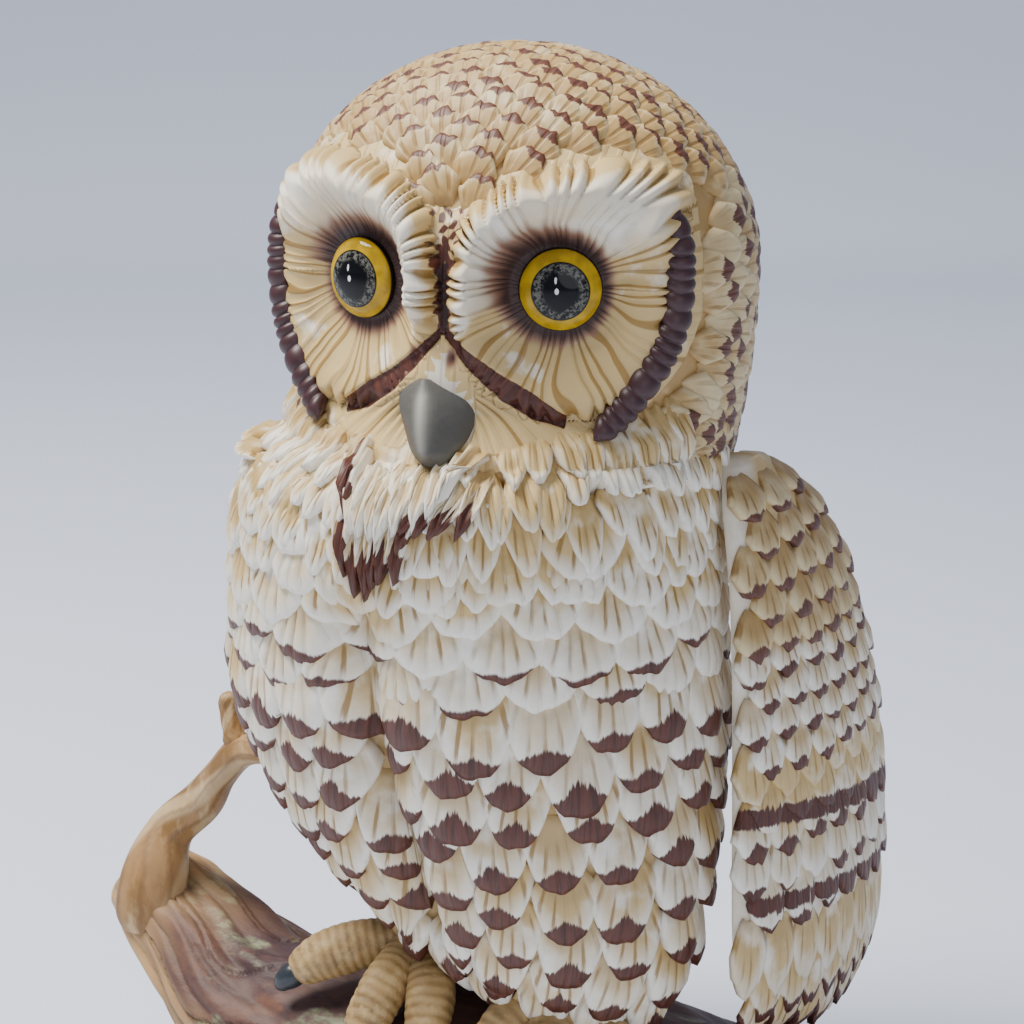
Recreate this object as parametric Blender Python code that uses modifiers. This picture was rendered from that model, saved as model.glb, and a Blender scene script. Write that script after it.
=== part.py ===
"""A bisque porcelain owl standing on a bent limb, as the separate castings that are luted together.

Lengths are in millimetres up to the point where a mesh is made, and MM turns them to metres.
The owl looks along -Y, its left side is +X, and the limb's flat foot stands on Z = 0.
Body, head and limb are hollow castings. Every joint between two castings keeps a slip line of GAP.
"""

import math

import bmesh
import bpy
import numpy as np
from mathutils import Vector

MM = 0.001

# Driving dimensions
TOTAL_HEIGHT = 227.0
NECK_HEIGHT = 150.0  # the seam between the body casting and the head casting
WALL = 3.6  # thickness of a slip casting
GAP = 0.3  # slip line between two castings
CUT_OVERLAP = 4.0  # how far a piece reaches into its neighbour before it is trimmed to fit

# Body: height, middle X, half width, reach to the front and reach to the back
BODY_STATIONS = (
    (50.0, 11.0, 31.0, 31.0, 8.0),
    (58.0, 7.5, 38.5, 36.5, 17.0),
    (72.0, 3.5, 45.5, 43.0, 26.0),
    (90.0, 1.0, 49.2, 49.0, 33.0),
    (112.0, 0.0, 50.8, 55.0, 36.5),
    (132.0, 0.0, 50.0, 57.0, 37.0),
    (145.0, 0.0, 48.5, 53.5, 36.5),
    (NECK_HEIGHT - GAP / 2, 0.0, 45.5, 48.5, 34.5),
)
BODY_MIDDLE_Y = -11.0
BODY_BOTTOM = 44.0
BODY_PART_DEPTH = 3.0  # the parting groove down the middle of the breast
BODY_PART_WIDTH = 7.0
BODY_LEAN = 0.27  # the left half of the belly hangs lower, because the limb falls to that side
BODY_LEAN_TOP = 112.0
NECK_HOLE = 24.0

# Head: an egg with a flatter front, turned a little to the owl's left
HEAD_CENTRE = (5.6, -3.0, 186.0)
HEAD_TURN = math.radians(5.0)
HEAD_HALF_WIDTH = 46.6
HEAD_FRONT = 40.5
HEAD_BACK = 42.0
HEAD_CROWN = TOTAL_HEIGHT - HEAD_CENTRE[2]
HEAD_TAPER = 88.0  # the taller half axis that the head narrows on, below its centre

# Face, in the head's own frame: X across, Z up from the head's centre
EYE_X = 18.6
EYE_Z = -0.4
EYE_RADIUS = 7.8
EYE_BULGE = 5.6
EYE_SPLAY = math.radians(19.0)
EYE_FORWARD = 1.0  # from the middle of the head's wall to the middle of the eye
EYE_HOLE_LENGTH = 30.0
DISC_RADIUS = 22.0
DISC_DEPTH = 5.0
MUZZLE_HEIGHT = 3.0
CHIN_FLARE = 10.0  # the collar of feathers swells forward under the chin to meet the breast
CHIN_FLARE_TOP = -22.0
RUFF_PATH = ((35.4, 14.5), (38.4, 4.5), (38.0, -5.5), (33.8, -17.0), (27.5, -26.0))
RUFF_TAPER = (0.75, 1.0, 1.0, 1.0, 1.0)
RUFF_RADIUS = 2.5
RUFF_LIFT = 0.6
BEAK_TOP = -15.8
BEAK_TIP = -27.4
BEAK_HALF_WIDTH = 8.0
BEAK_REACH = 9.0
BEAK_WIDEST = 0.34  # the share of the beak's length where it is widest
BEAK_TAPER = 0.68

# Wings: height, front edge Y, rear edge Y, and the outer face's X at the front, middle and rear
LEFT_WING = (
    (149.0, -3.0, 11.0, 51.5, 53.0, 51.5),
    (142.0, -9.0, 22.0, 54.0, 57.5, 54.5),
    (130.0, -11.0, 34.0, 56.0, 61.5, 58.0),
    (112.0, -11.0, 42.0, 57.0, 64.5, 61.5),
    (90.0, -11.0, 48.0, 57.5, 66.5, 64.0),
    (60.0, -11.0, 51.0, 58.0, 67.5, 65.5),
    (46.0, -8.0, 49.0, 58.5, 67.0, 65.5),
    (35.0, 2.0, 43.0, 59.5, 65.5, 64.5),
    (29.0, 17.0, 31.0, 61.5, 63.6, 63.4),
)
RIGHT_WING = (
    (151.0, 0.0, 12.0, 47.5, 48.5, 46.5),
    (143.0, -3.0, 22.0, 50.0, 51.5, 48.0),
    (130.0, -1.0, 31.0, 51.5, 53.0, 47.0),
    (112.0, 3.0, 39.0, 52.0, 53.0, 45.0),
    (90.0, 9.0, 46.0, 50.0, 51.0, 41.0),
    (62.0, 20.0, 51.0, 45.0, 45.5, 34.5),
    (48.0, 29.0, 51.5, 40.0, 39.5, 32.0),
    (39.0, 37.0, 50.0, 34.5, 34.0, 30.5),
    (35.0, 42.0, 47.5, 31.5, 31.5, 30.3),
)
WING_EDGE = 4.4
WING_REAR_EDGE = 2.6

# Tail: height, middle Y and half width
TAIL_STATIONS = (
    (96.0, 30.0, 12.0),
    (74.0, 34.5, 19.0),
    (50.0, 41.0, 23.0),
    (28.0, 47.5, 22.0),
    (22.0, 49.0, 15.0),
)
TAIL_THICKNESS = 5.0
TAIL_CURVE = 6.0

# Limb: centre X, Y, Z, then its half width and half height
LIMB_STATIONS = (
    (-87.0, 3.0, 41.0, 11.0, 10.0),
    (-71.0, -1.0, 30.5, 16.0, 12.8),
    (-53.0, -5.0, 20.5, 22.0, 15.8),
    (-30.0, -6.0, 15.0, 30.0, 20.0),
    (0.0, -5.0, 14.0, 34.0, 22.0),
    (30.0, -2.0, 12.0, 32.0, 20.5),
    (56.0, 2.0, 10.0, 26.0, 17.0),
    (72.0, 4.0, 9.0, 19.0, 13.0),
)
LIMB_WALL = 4.5
VENT_RADIUS = 4.0
VENT_LENGTH = 24.0
VENT_X = 12.0

# Twig: points and radii of the stem from its swollen root, and of the spur at its fork
TWIG_STEM = (
    (-81.5, -6.0, 31.0, 4.0),
    (-81.0, -6.5, 38.0, 7.4),
    (-80.0, -5.0, 46.5, 7.0),
    (-78.0, -2.0, 54.5, 5.2),
    (-71.0, 0.0, 62.0, 4.6),
    (-65.0, -2.0, 69.5, 3.5),
    (-59.0, -3.4, 75.5, 3.4),
    (-51.5, -6.0, 77.5, 2.6),
    (-38.0, -9.5, 78.5, 2.3),
)
TWIG_SPUR = ((-59.8, -3.4, 78.0, 2.6), (-62.4, -2.2, 83.0, 2.2), (-62.8, -1.6, 88.0, 2.4))

# Feet: the ball of each foot, and the far end of each toe
TOE_RADIUS = 6.0
TOE_ROOT_RADIUS = 3.0
TALON_RADIUS = 1.5
FEET = {
    "right": {
        "hip": (-12.0, -9.0, 66.0),
        "ball": (-11.0, -12.5, 47.0),
        "inner": ((-3.5, -25.5, 39.0), (-0.5, -35.0, 26.0)),
        "middle": ((-13.0, -27.0, 39.5), (-15.5, -37.0, 26.5)),
        "outer": ((-25.5, -19.5, 43.0), (-38.5, -26.0, 34.0)),
        "hind": ((-13.5, 2.0, 41.5), (-15.0, 13.5, 36.5)),
    },
    "left": {
        "hip": (21.0, -9.0, 58.0),
        "ball": (22.0, -13.5, 41.5),
        "inner": ((14.5, -26.0, 37.0), (10.0, -35.0, 25.5)),
        "middle": ((23.5, -27.5, 35.5), (24.5, -36.5, 23.0)),
        "outer": ((34.0, -21.5, 34.5), (42.5, -27.0, 24.5)),
        "hind": ((22.0, 1.0, 38.5), (22.0, 12.5, 34.5)),
    },
}
LEG_RADIUS = 7.5
LEG_TOP_RADIUS = 9.0

AROUND = 36
PAINTS = {
    "white_bisque": ((0.80, 0.76, 0.69), 0.55),
    "brown_paint": ((0.06, 0.02, 0.02), 0.5),
    "eye_enamel": ((0.50, 0.33, 0.03), 0.08),
    "beak_grey": ((0.13, 0.13, 0.12), 0.35),
    "leg_tan": ((0.42, 0.28, 0.14), 0.55),
    "limb_brown": ((0.13, 0.08, 0.06), 0.6),
    "twig_tan": ((0.38, 0.24, 0.12), 0.55),
}


def clear_scene():
    for obj in list(bpy.data.objects):
        bpy.data.objects.remove(obj, do_unlink=True)


def new_collection(name):
    collection = bpy.data.collections.new(name)
    bpy.context.scene.collection.children.link(collection)
    return collection


def paint(name):
    """One Principled material for each finish, made the first time it is asked for."""
    material = bpy.data.materials.get(name)
    if material is None:
        colour, roughness = PAINTS[name]
        material = bpy.data.materials.new(name)
        material.use_nodes = True
        shader = material.node_tree.nodes["Principled BSDF"]
        shader.inputs["Base Color"].default_value = (*colour, 1.0)
        shader.inputs["Roughness"].default_value = roughness
        material.diffuse_color = (*colour, 1.0)
    return material


def smooth_rows(stations, places):
    """Every column of a station table, interpolated smoothly over its first column."""
    table = np.array(stations, float)
    order = np.argsort(table[:, 0])
    table = table[order]
    at, values = table[:, 0], table[:, 1:]
    steps = np.diff(at)
    slopes = np.diff(values, axis=0) / steps[:, None]
    tangents = np.vstack([slopes[:1], (slopes[1:] + slopes[:-1]) / 2, slopes[-1:]])
    turning = slopes[1:] * slopes[:-1] <= 0
    tangents[1:-1][turning] = 0
    places = np.clip(np.asarray(places, float), at[0], at[-1])
    span = np.clip(np.searchsorted(at, places) - 1, 0, len(steps) - 1)
    t = ((places - at[span]) / steps[span])[:, None]
    rise = steps[span][:, None]
    return (
        (2 * t**3 - 3 * t**2 + 1) * values[span]
        + (t**3 - 2 * t**2 + t) * rise * tangents[span]
        + (3 * t**2 - 2 * t**3) * values[span + 1]
        + (t**3 - t**2) * rise * tangents[span + 1]
    )


def smooth_step(low, high, value):
    t = np.clip((value - low) / (high - low), 0, 1)
    return t * t * (3 - 2 * t)


def loft(name, rings, material, collection, start="pole", end="pole"):
    """A surface through rings of points. Each end closes on a point, closes flat, or stays open."""
    rings = np.asarray(rings, float)
    count, around = rings.shape[:2]
    points = [tuple(p * MM) for p in rings.reshape(-1, 3)]
    corners = [(k, (k + 1) % around, (k + 1) % around + around, k + around) for k in range(around)]
    faces = [tuple(r * around + c for c in corner) for r in range(count - 1) for corner in corners]
    for ring, closing in ((0, start), (count - 1, end)):
        loop = [ring * around + k for k in range(around)]
        if closing == "cap":
            faces.append(tuple(loop))
        elif closing == "pole":
            points.append(tuple(rings[ring].mean(axis=0) * MM))
            pole = len(points) - 1
            faces += [(loop[k], loop[(k + 1) % around], pole) for k in range(around)]
    mesh = bpy.data.meshes.new(name)
    mesh.from_pydata(points, [], faces)
    shape = bmesh.new()
    shape.from_mesh(mesh)
    bmesh.ops.recalc_face_normals(shape, faces=shape.faces)
    if start != "open" and end != "open" and shape.calc_volume(signed=True) < 0:
        bmesh.ops.reverse_faces(shape, faces=shape.faces)
    shape.to_mesh(mesh)
    shape.free()
    return add_object(name, mesh, material, collection)


def add_object(name, mesh, material, collection):
    mesh.shade_smooth()
    mesh.set_sharp_from_angle(angle=math.radians(50))
    obj = bpy.data.objects.new(name, mesh)
    obj.data.materials.clear()
    obj.data.materials.append(paint(material))
    collection.objects.link(obj)
    return obj


def as_cutter(obj):
    obj.hide_render = True
    obj.display_type = "WIRE"
    return obj


def grown(source, name, distance, collection):
    """A closed copy of a loft, grown by a distance along its normals, to cut a neighbour back with."""
    mesh = source.data.copy()
    mesh.name = name
    moved = [v.co + v.normal * distance * MM for v in mesh.vertices]
    for vertex, place in zip(mesh.vertices, moved):
        vertex.co = place
    obj = bpy.data.objects.new(name, mesh)
    collection.objects.link(obj)
    return as_cutter(obj)


def cut(obj, cutter, operation="DIFFERENCE"):
    modifier = obj.modifiers.new(f"cut_by_{cutter.name}", "BOOLEAN")
    modifier.operation = operation
    modifier.object = cutter
    return modifier


def tube(name, route, material, collection, sides=3, steps=3):
    """A round piece along points with radii: a bevelled curve, made a closed mesh with welded caps."""
    table = np.array(route, float)
    length = np.concatenate([[0], np.cumsum(np.linalg.norm(np.diff(table[:, :3], axis=0), axis=1))])
    places = np.linspace(0, length[-1], (len(table) - 1) * steps + 1)
    smooth = smooth_rows(np.column_stack([length, table]), places)
    curve = bpy.data.curves.new(name, "CURVE")
    curve.dimensions = "3D"
    curve.bevel_depth = MM
    curve.bevel_resolution = sides
    curve.use_fill_caps = True
    spline = curve.splines.new("POLY")
    spline.points.add(len(smooth) - 1)
    for point, (x, y, z, radius) in zip(spline.points, smooth):
        point.co = (x * MM, y * MM, z * MM, 1)
        point.radius = radius
    guide = bpy.data.objects.new(f"{name}_guide", curve)
    collection.objects.link(guide)
    bpy.context.view_layer.update()
    graph = bpy.context.evaluated_depsgraph_get()
    mesh = bpy.data.meshes.new_from_object(guide.evaluated_get(graph))
    bpy.data.objects.remove(guide, do_unlink=True)
    shape = bmesh.new()
    shape.from_mesh(mesh)
    bmesh.ops.remove_doubles(shape, verts=shape.verts, dist=1e-6)
    bmesh.ops.recalc_face_normals(shape, faces=shape.faces)
    shape.to_mesh(mesh)
    shape.free()
    return add_object(name, mesh, material, collection)


def body_ring(height):
    """One section of the body: an ellipse in two halves, parted down the breast, leaning to the left."""
    middle, half, front, back = smooth_rows(BODY_STATIONS, [height])[0]
    angle = np.arange(AROUND) * 2 * np.pi / AROUND
    x = middle + half * np.sin(angle)
    forward = np.cos(angle)
    reach = np.where(forward > 0, front + BODY_MIDDLE_Y, back - BODY_MIDDLE_Y)
    y = BODY_MIDDLE_Y - reach * forward
    groove = BODY_PART_DEPTH * np.exp(-((x / BODY_PART_WIDTH) ** 2))
    y += np.where(forward > 0, groove * smooth_step(52, 62, height) * (1 - smooth_step(126, 138, height)), 0)
    lean = BODY_LEAN * (1 - smooth_step(BODY_BOTTOM, BODY_LEAN_TOP, height))
    return np.column_stack([x, y, np.full(AROUND, height) - lean * x])


def body_rings():
    low, shoulder, top = BODY_STATIONS[0][0], BODY_STATIONS[-2][0], BODY_STATIONS[-1][0]
    heights = [low, *np.linspace(low + 4, shoulder, 14), (shoulder + top) / 2, top]
    rings = [body_ring(height) for height in heights]
    tip = rings[0].mean(axis=0) + (0, 0, BODY_BOTTOM - low)
    bottom = tip + (rings[0] - tip) * (0.6, 0.6, 0.25)
    return [bottom, *rings]


def neck_ring(height):
    angle = np.arange(AROUND) * 2 * np.pi / AROUND
    return np.column_stack(
        [NECK_HOLE * np.sin(angle), -4.0 - NECK_HOLE * np.cos(angle), np.full(AROUND, height)]
    )


def hollow(obj):
    wall = obj.modifiers.new("wall", "SOLIDIFY")
    wall.thickness = WALL * MM
    wall.offset = -1


def side_name(side):
    return "left" if side > 0 else "right"


def make_body(parts, cutters):
    """The torso is a hollow casting with a flat shoulder, open at the neck."""
    rings = body_rings()
    form = as_cutter(loft("body_form", rings, "white_bisque", cutters, end="cap"))
    clearance = grown(form, "body_clearance", GAP, cutters)
    hollow(loft("body", [*rings, neck_ring(NECK_HEIGHT - GAP / 2)], "white_bisque", parts, end="open"))
    return clearance


def face_relief(x, z):
    """How far the face stands forward of the plain egg, for a place across and up the face."""
    relief = np.zeros_like(x)
    for side in (-1, 1):
        distance = np.hypot(x - side * EYE_X, z - EYE_Z)
        relief -= DISC_DEPTH * (1 - smooth_step(0.35 * DISC_RADIUS, 0.95 * DISC_RADIUS, distance))
    middle = (BEAK_TOP + BEAK_TIP) / 2
    return relief + MUZZLE_HEIGHT * np.exp(-((x / 11.0) ** 2) - ((z - middle) / 9.0) ** 2)


def to_world(local):
    """From the head's own frame to the owl's frame."""
    local = np.asarray(local, float)
    c, s = math.cos(HEAD_TURN), math.sin(HEAD_TURN)
    x, y, z = local[..., 0], local[..., 1], local[..., 2]
    return np.stack([c * x - s * y, s * x + c * y, z], axis=-1) + HEAD_CENTRE


def head_ring(z, squeeze):
    angle = np.arange(AROUND) * 2 * np.pi / AROUND
    forward = np.cos(angle)
    x = HEAD_HALF_WIDTH * squeeze * np.sin(angle)
    reach = np.where(forward > 0, HEAD_FRONT, HEAD_BACK) * squeeze
    reach += np.clip(forward, 0, 1) * CHIN_FLARE * (1 - smooth_step(-36, CHIN_FLARE_TOP, z))
    y = -reach * forward
    y -= np.where(forward > 0.15, face_relief(x, np.full(AROUND, z)), 0)
    return to_world(np.column_stack([x, y, np.full(AROUND, z)]))


def head_rings():
    low = NECK_HEIGHT + GAP / 2 - HEAD_CENTRE[2]
    below = [(z, math.sqrt(1 - (z / HEAD_TAPER) ** 2)) for z in np.linspace(low, 0, 9)]
    rise = np.radians((12, 25, 38, 51, 64, 76))
    above = [(HEAD_CROWN * math.sin(a), math.cos(a)) for a in rise]
    return [head_ring(z, squeeze) for z, squeeze in below + above]


def eye_cutter(side, cutters):
    """A round hole through the face for one eye, along the way that the eye looks."""
    place = Vector(to_world((side * EYE_X, -HEAD_FRONT * 0.72, EYE_Z)))
    look = Vector((math.sin(side * EYE_SPLAY + HEAD_TURN), -math.cos(side * EYE_SPLAY + HEAD_TURN), 0))
    hole = round_bar(f"{side_name(side)}_eye_hole", EYE_RADIUS + GAP, EYE_HOLE_LENGTH, cutters)
    hole.rotation_mode = "QUATERNION"
    hole.rotation_quaternion = look.to_track_quat("Z", "Y")
    hole.location = place * MM
    return hole, place, look


def make_eye(side, place, look, parts):
    """The eye is a flattened bead of glossy enamel, set a little back in its hole."""
    shape = bmesh.new()
    bmesh.ops.create_uvsphere(shape, u_segments=24, v_segments=12, radius=MM)
    for vertex in shape.verts:
        vertex.co.x *= EYE_RADIUS
        vertex.co.y *= EYE_RADIUS
        vertex.co.z *= EYE_BULGE
    name = f"{side_name(side)}_eye"
    mesh = bpy.data.meshes.new(name)
    shape.to_mesh(mesh)
    shape.free()
    eye = add_object(name, mesh, "eye_enamel", parts)
    eye.rotation_mode = "QUATERNION"
    eye.rotation_quaternion = look.to_track_quat("Z", "Y")
    eye.location = (place + look * EYE_FORWARD) * MM


def make_head(parts, cutters):
    rings = head_rings()
    form = as_cutter(loft("head_form", rings, "white_bisque", cutters, start="cap"))
    clearance = grown(form, "head_clearance", GAP, cutters)
    head = loft("head", [neck_ring(NECK_HEIGHT + GAP / 2), *rings], "white_bisque", parts, start="open")
    hollow(head)
    for side in (-1, 1):
        hole, place, look = eye_cutter(side, cutters)
        cut(head, hole)
        make_eye(side, place, look, parts)
    return clearance


def face_point(x, z, lift=0.0):
    """A place on the face, lifted off it, in the head's own frame."""
    squeeze = math.sqrt(1 - (z / (HEAD_CROWN if z > 0 else HEAD_TAPER)) ** 2)
    across = min(abs(x) / (HEAD_HALF_WIDTH * squeeze), 0.999)
    relief = float(face_relief(np.array([float(x)]), np.array([float(z)]))[0])
    y = -HEAD_FRONT * squeeze * math.sqrt(1 - across**2)
    normal = np.array([x / HEAD_HALF_WIDTH**2, y / HEAD_FRONT**2, 0.3 * z / HEAD_CROWN**2])
    normal /= np.linalg.norm(normal)
    return np.array([x, y - relief, z]) + lift * normal


def make_ruff(side, clearance, parts):
    """The dark crimped strip at the edge of the facial disc is laid on the head as its own roll of clay."""
    route = [
        (*to_world(face_point(side * x, z, RUFF_LIFT)), RUFF_RADIUS * share)
        for (x, z), share in zip(RUFF_PATH, RUFF_TAPER)
    ]
    ruff = tube(f"{side_name(side)}_ruff", route, "brown_paint", parts, sides=1, steps=4)
    cut(ruff, clearance)


def make_beak(clearance, parts):
    """The beak is a hooked wedge with a ridge down its middle, trimmed to sit on the face."""
    angle = np.arange(16) * 2 * np.pi / 16
    ridge = np.clip(np.cos(angle), 0, 1) ** 1.5
    root = face_point(0, (BEAK_TOP + BEAK_TIP) / 2)[1] + CUT_OVERLAP
    rings = []
    for t in np.linspace(0, 1, 11):
        z = BEAK_TOP + (BEAK_TIP - BEAK_TOP) * t
        width = BEAK_HALF_WIDTH * math.sqrt(1 - ((t - BEAK_WIDEST) / BEAK_TAPER) ** 2)
        front = BEAK_REACH * math.sin(math.pi * (0.10 + 0.52 * t))
        back = (BEAK_REACH + CUT_OVERLAP) * 0.84 * smooth_step(0.55, 1.02, t)
        y = root - back - (front + CUT_OVERLAP - back) * ridge
        rings.append(to_world(np.column_stack([width * np.sin(angle), y, np.full(16, z)])))
    cut(loft("beak", rings, "beak_grey", parts), clearance)


def wing_rings(stations, side, count=15):
    """Level slices of a wing: an outer face that bows outwards, and an inner face a thickness inside it."""
    heights = np.linspace(stations[0][0], stations[-1][0], count)
    rows = smooth_rows(stations, heights)
    t = np.linspace(0, 1, 9)
    rings = []
    for height, (front, rear, x_front, x_middle, x_rear) in zip(heights, rows):
        outer_x = x_front * (1 - t) * (1 - 2 * t) + 4 * x_middle * t * (1 - t) + x_rear * t * (2 * t - 1)
        outer_y = front + (rear - front) * t
        seat = smooth_step(118, 136, height)
        thick = WING_EDGE + (WING_REAR_EDGE - WING_EDGE) * t + seat * CUT_OVERLAP * 1.5 * (1 - t)
        outer = np.column_stack([side * outer_x, outer_y, np.full(9, height)])
        inner = np.column_stack([side * (outer_x - thick), outer_y, np.full(9, height)])
        rings.append(np.vstack([outer, inner[::-1]]))
    return rings


def make_wing(stations, side, clearances, parts):
    rings = wing_rings(stations, side)
    wing = loft(f"{side_name(side)}_wing", rings, "white_bisque", parts, start="cap", end="cap")
    for clearance in clearances:
        cut(wing, clearance)


def make_tail(clearance, parts):
    heights = np.linspace(TAIL_STATIONS[0][0], TAIL_STATIONS[-1][0], 9)
    rows = smooth_rows(TAIL_STATIONS, heights)
    across = np.linspace(-1, 1, 9)
    rings = []
    for height, (middle, half) in zip(heights, rows):
        y = middle - TAIL_CURVE * (across * half / 24) ** 2
        outer = np.column_stack([across * half, y, np.full(9, height)])
        inner = outer - (0, TAIL_THICKNESS, 0)
        rings.append(np.vstack([outer, inner[::-1]]))
    cut(loft("tail", rings, "white_bisque", parts, start="cap", end="cap"), clearance)


def limb_rings(inset=0.0, count=17):
    """Round sections square to the limb's curved middle line."""
    table = np.array(LIMB_STATIONS, float)
    rows = smooth_rows(np.column_stack([table[:, 0], table]), np.linspace(table[0, 0], table[-1, 0], count))
    centre, half = rows[:, :3], rows[:, 3:] - inset
    along = np.gradient(centre, axis=0)
    along /= np.linalg.norm(along, axis=1)[:, None]
    across = np.cross((0, 0, 1), along)
    across /= np.linalg.norm(across, axis=1)[:, None]
    over = np.cross(along, across)
    angle = np.arange(28) * 2 * np.pi / 28
    return [
        c + w * np.cos(angle)[:, None] * s + h * np.sin(angle)[:, None] * u
        for c, (w, h), s, u in zip(centre, half, across, over)
    ]


def round_bar(name, radius, length, cutters):
    shape = bmesh.new()
    bmesh.ops.create_cone(
        shape, cap_ends=True, segments=24, radius1=radius * MM, radius2=radius * MM, depth=length * MM
    )
    mesh = bpy.data.meshes.new(name)
    shape.to_mesh(mesh)
    shape.free()
    bar = bpy.data.objects.new(name, mesh)
    cutters.objects.link(bar)
    return as_cutter(bar)


def level_box(name, low, high, cutters):
    shape = bmesh.new()
    bmesh.ops.create_cube(shape, size=1.0)
    low, high = Vector(low), Vector(high)
    for vertex in shape.verts:
        vertex.co = (vertex.co * (high - low) + (high + low) / 2) * MM
    mesh = bpy.data.meshes.new(name)
    shape.to_mesh(mesh)
    shape.free()
    box = bpy.data.objects.new(name, mesh)
    cutters.objects.link(box)
    return as_cutter(box)


def make_limb(parts, cutters):
    """The limb is a hollow casting, ground flat underneath, with a vent hole for the kiln's steam."""
    limb = loft("limb", limb_rings(), "limb_brown", parts)
    clearance = grown(limb, "limb_clearance", GAP, cutters)
    core = as_cutter(loft("limb_core", limb_rings(LIMB_WALL)[2:-2], "limb_brown", cutters))
    cut(core, level_box("core_floor", (-120, -60, -40), (120, 60, LIMB_WALL), cutters))
    cut(limb, core)
    cut(limb, level_box("table", (-120, -60, -40), (120, 60, 0), cutters))
    vent = round_bar("vent", VENT_RADIUS, VENT_LENGTH, cutters)
    vent.location = (VENT_X * MM, 0, 0)
    cut(limb, vent)
    return clearance


def make_twig(limb_clearance, body_clearance, parts, cutters):
    """A twig grows from a swollen root on the limb's raised end and leans on the owl's right flank."""
    twig = tube("twig", TWIG_STEM, "twig_tan", parts, sides=3, steps=2)
    twig_clearance = grown(twig, "twig_clearance", GAP, cutters)
    cut(twig, limb_clearance)
    cut(twig, body_clearance)
    spur = tube("twig_spur", TWIG_SPUR, "twig_tan", parts, sides=2, steps=3)
    cut(spur, twig_clearance)


def make_foot(side, limb_clearance, body_clearance, parts, cutters):
    """A leg with four toes that close over the limb. Each toe is rolled on its own and ends in a talon."""
    places = FEET[side]
    hip, ball = np.array(places["hip"]), np.array(places["ball"])
    knee = (hip + ball) / 2
    route = [
        (*hip, LEG_TOP_RADIUS),
        (*knee, LEG_RADIUS),
        (*ball, LEG_RADIUS),
        (*(ball - (0, 0, 7.0)), LEG_RADIUS * 0.8),
    ]
    leg = tube(f"{side}_leg", route, "leg_tan", parts, sides=3, steps=2)
    leg_clearance = grown(leg, f"{side}_leg_clearance", GAP, cutters)
    cut(leg, limb_clearance)
    cut(leg, body_clearance)
    neighbours = [limb_clearance, body_clearance, leg_clearance]
    for toe in ("middle", "inner", "outer", "hind"):
        knuckle, tip = (np.array(p) for p in places[toe])
        start = ball + (knuckle - ball) * 0.35
        bend = knuckle + (tip - knuckle) * 0.45 + (0, 0, 1.5)
        route = [
            (*start, TOE_ROOT_RADIUS),
            (*((start + knuckle) / 2), TOE_RADIUS * 0.85),
            (*knuckle, TOE_RADIUS),
            (*bend, TOE_RADIUS * 0.8),
            (*tip, TALON_RADIUS),
        ]
        name = f"{side}_toe_{toe}"
        claw = tube(name, route, "leg_tan", parts, sides=2, steps=2)
        for cutter in neighbours:
            cut(claw, cutter)
        neighbours.append(grown(claw, f"{name}_clearance", GAP, cutters))


def main():
    clear_scene()
    parts = new_collection("owl_figurine")
    cutters = new_collection("owl_cutters")
    body_clearance = make_body(parts, cutters)
    head_clearance = make_head(parts, cutters)
    make_beak(head_clearance, parts)
    for side in (-1, 1):
        make_ruff(side, head_clearance, parts)
    limb_clearance = make_limb(parts, cutters)
    make_twig(limb_clearance, body_clearance, parts, cutters)
    make_wing(LEFT_WING, 1, (body_clearance, head_clearance), parts)
    make_wing(RIGHT_WING, -1, (body_clearance, head_clearance), parts)
    make_tail(body_clearance, parts)
    for side in ("right", "left"):
        make_foot(side, limb_clearance, body_clearance, parts, cutters)


main()
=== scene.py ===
# %% [markdown]
# # A bisque porcelain owl on a limb
# The figurine is slip-cast in several moulds, luted together, painted by hand and fired without a
# glaze. Each cell below makes one of its pieces or finishes around the CAD frame, which stays as it is.
# Lengths are in millimetres until a mesh is made. The owl looks along -Y and its left side is +X.

# %% Load the frame
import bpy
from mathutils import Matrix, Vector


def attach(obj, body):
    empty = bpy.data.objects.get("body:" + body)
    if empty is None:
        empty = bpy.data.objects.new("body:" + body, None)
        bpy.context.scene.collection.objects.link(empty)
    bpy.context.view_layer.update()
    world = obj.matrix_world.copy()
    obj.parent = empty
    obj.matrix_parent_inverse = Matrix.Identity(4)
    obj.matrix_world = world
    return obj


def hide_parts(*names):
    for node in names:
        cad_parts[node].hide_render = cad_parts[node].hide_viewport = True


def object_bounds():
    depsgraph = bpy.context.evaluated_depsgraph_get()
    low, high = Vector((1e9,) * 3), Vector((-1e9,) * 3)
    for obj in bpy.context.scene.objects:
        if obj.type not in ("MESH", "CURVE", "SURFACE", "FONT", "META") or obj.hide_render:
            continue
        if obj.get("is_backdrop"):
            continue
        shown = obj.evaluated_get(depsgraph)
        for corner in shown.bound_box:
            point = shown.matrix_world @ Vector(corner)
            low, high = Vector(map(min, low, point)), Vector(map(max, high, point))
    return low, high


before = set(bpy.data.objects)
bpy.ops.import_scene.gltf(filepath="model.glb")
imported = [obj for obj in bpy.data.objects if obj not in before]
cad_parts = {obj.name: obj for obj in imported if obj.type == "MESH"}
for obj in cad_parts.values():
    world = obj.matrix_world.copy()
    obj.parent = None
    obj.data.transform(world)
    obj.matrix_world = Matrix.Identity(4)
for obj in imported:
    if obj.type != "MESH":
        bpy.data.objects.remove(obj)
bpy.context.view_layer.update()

# %% [markdown]
# The modeller works in millimetres and the stage in metres. All chance comes from one seeded source,
# so that every run of this script gives the same owl.

import bpy
import numpy as np
from mathutils import Vector

MM = 0.001
rng = np.random.default_rng(46)
bpy.context.scene.name = "owl"
for left_over in [o for o in bpy.data.objects if o.type in ("CAMERA", "LIGHT")]:
    bpy.data.objects.remove(left_over)

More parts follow.
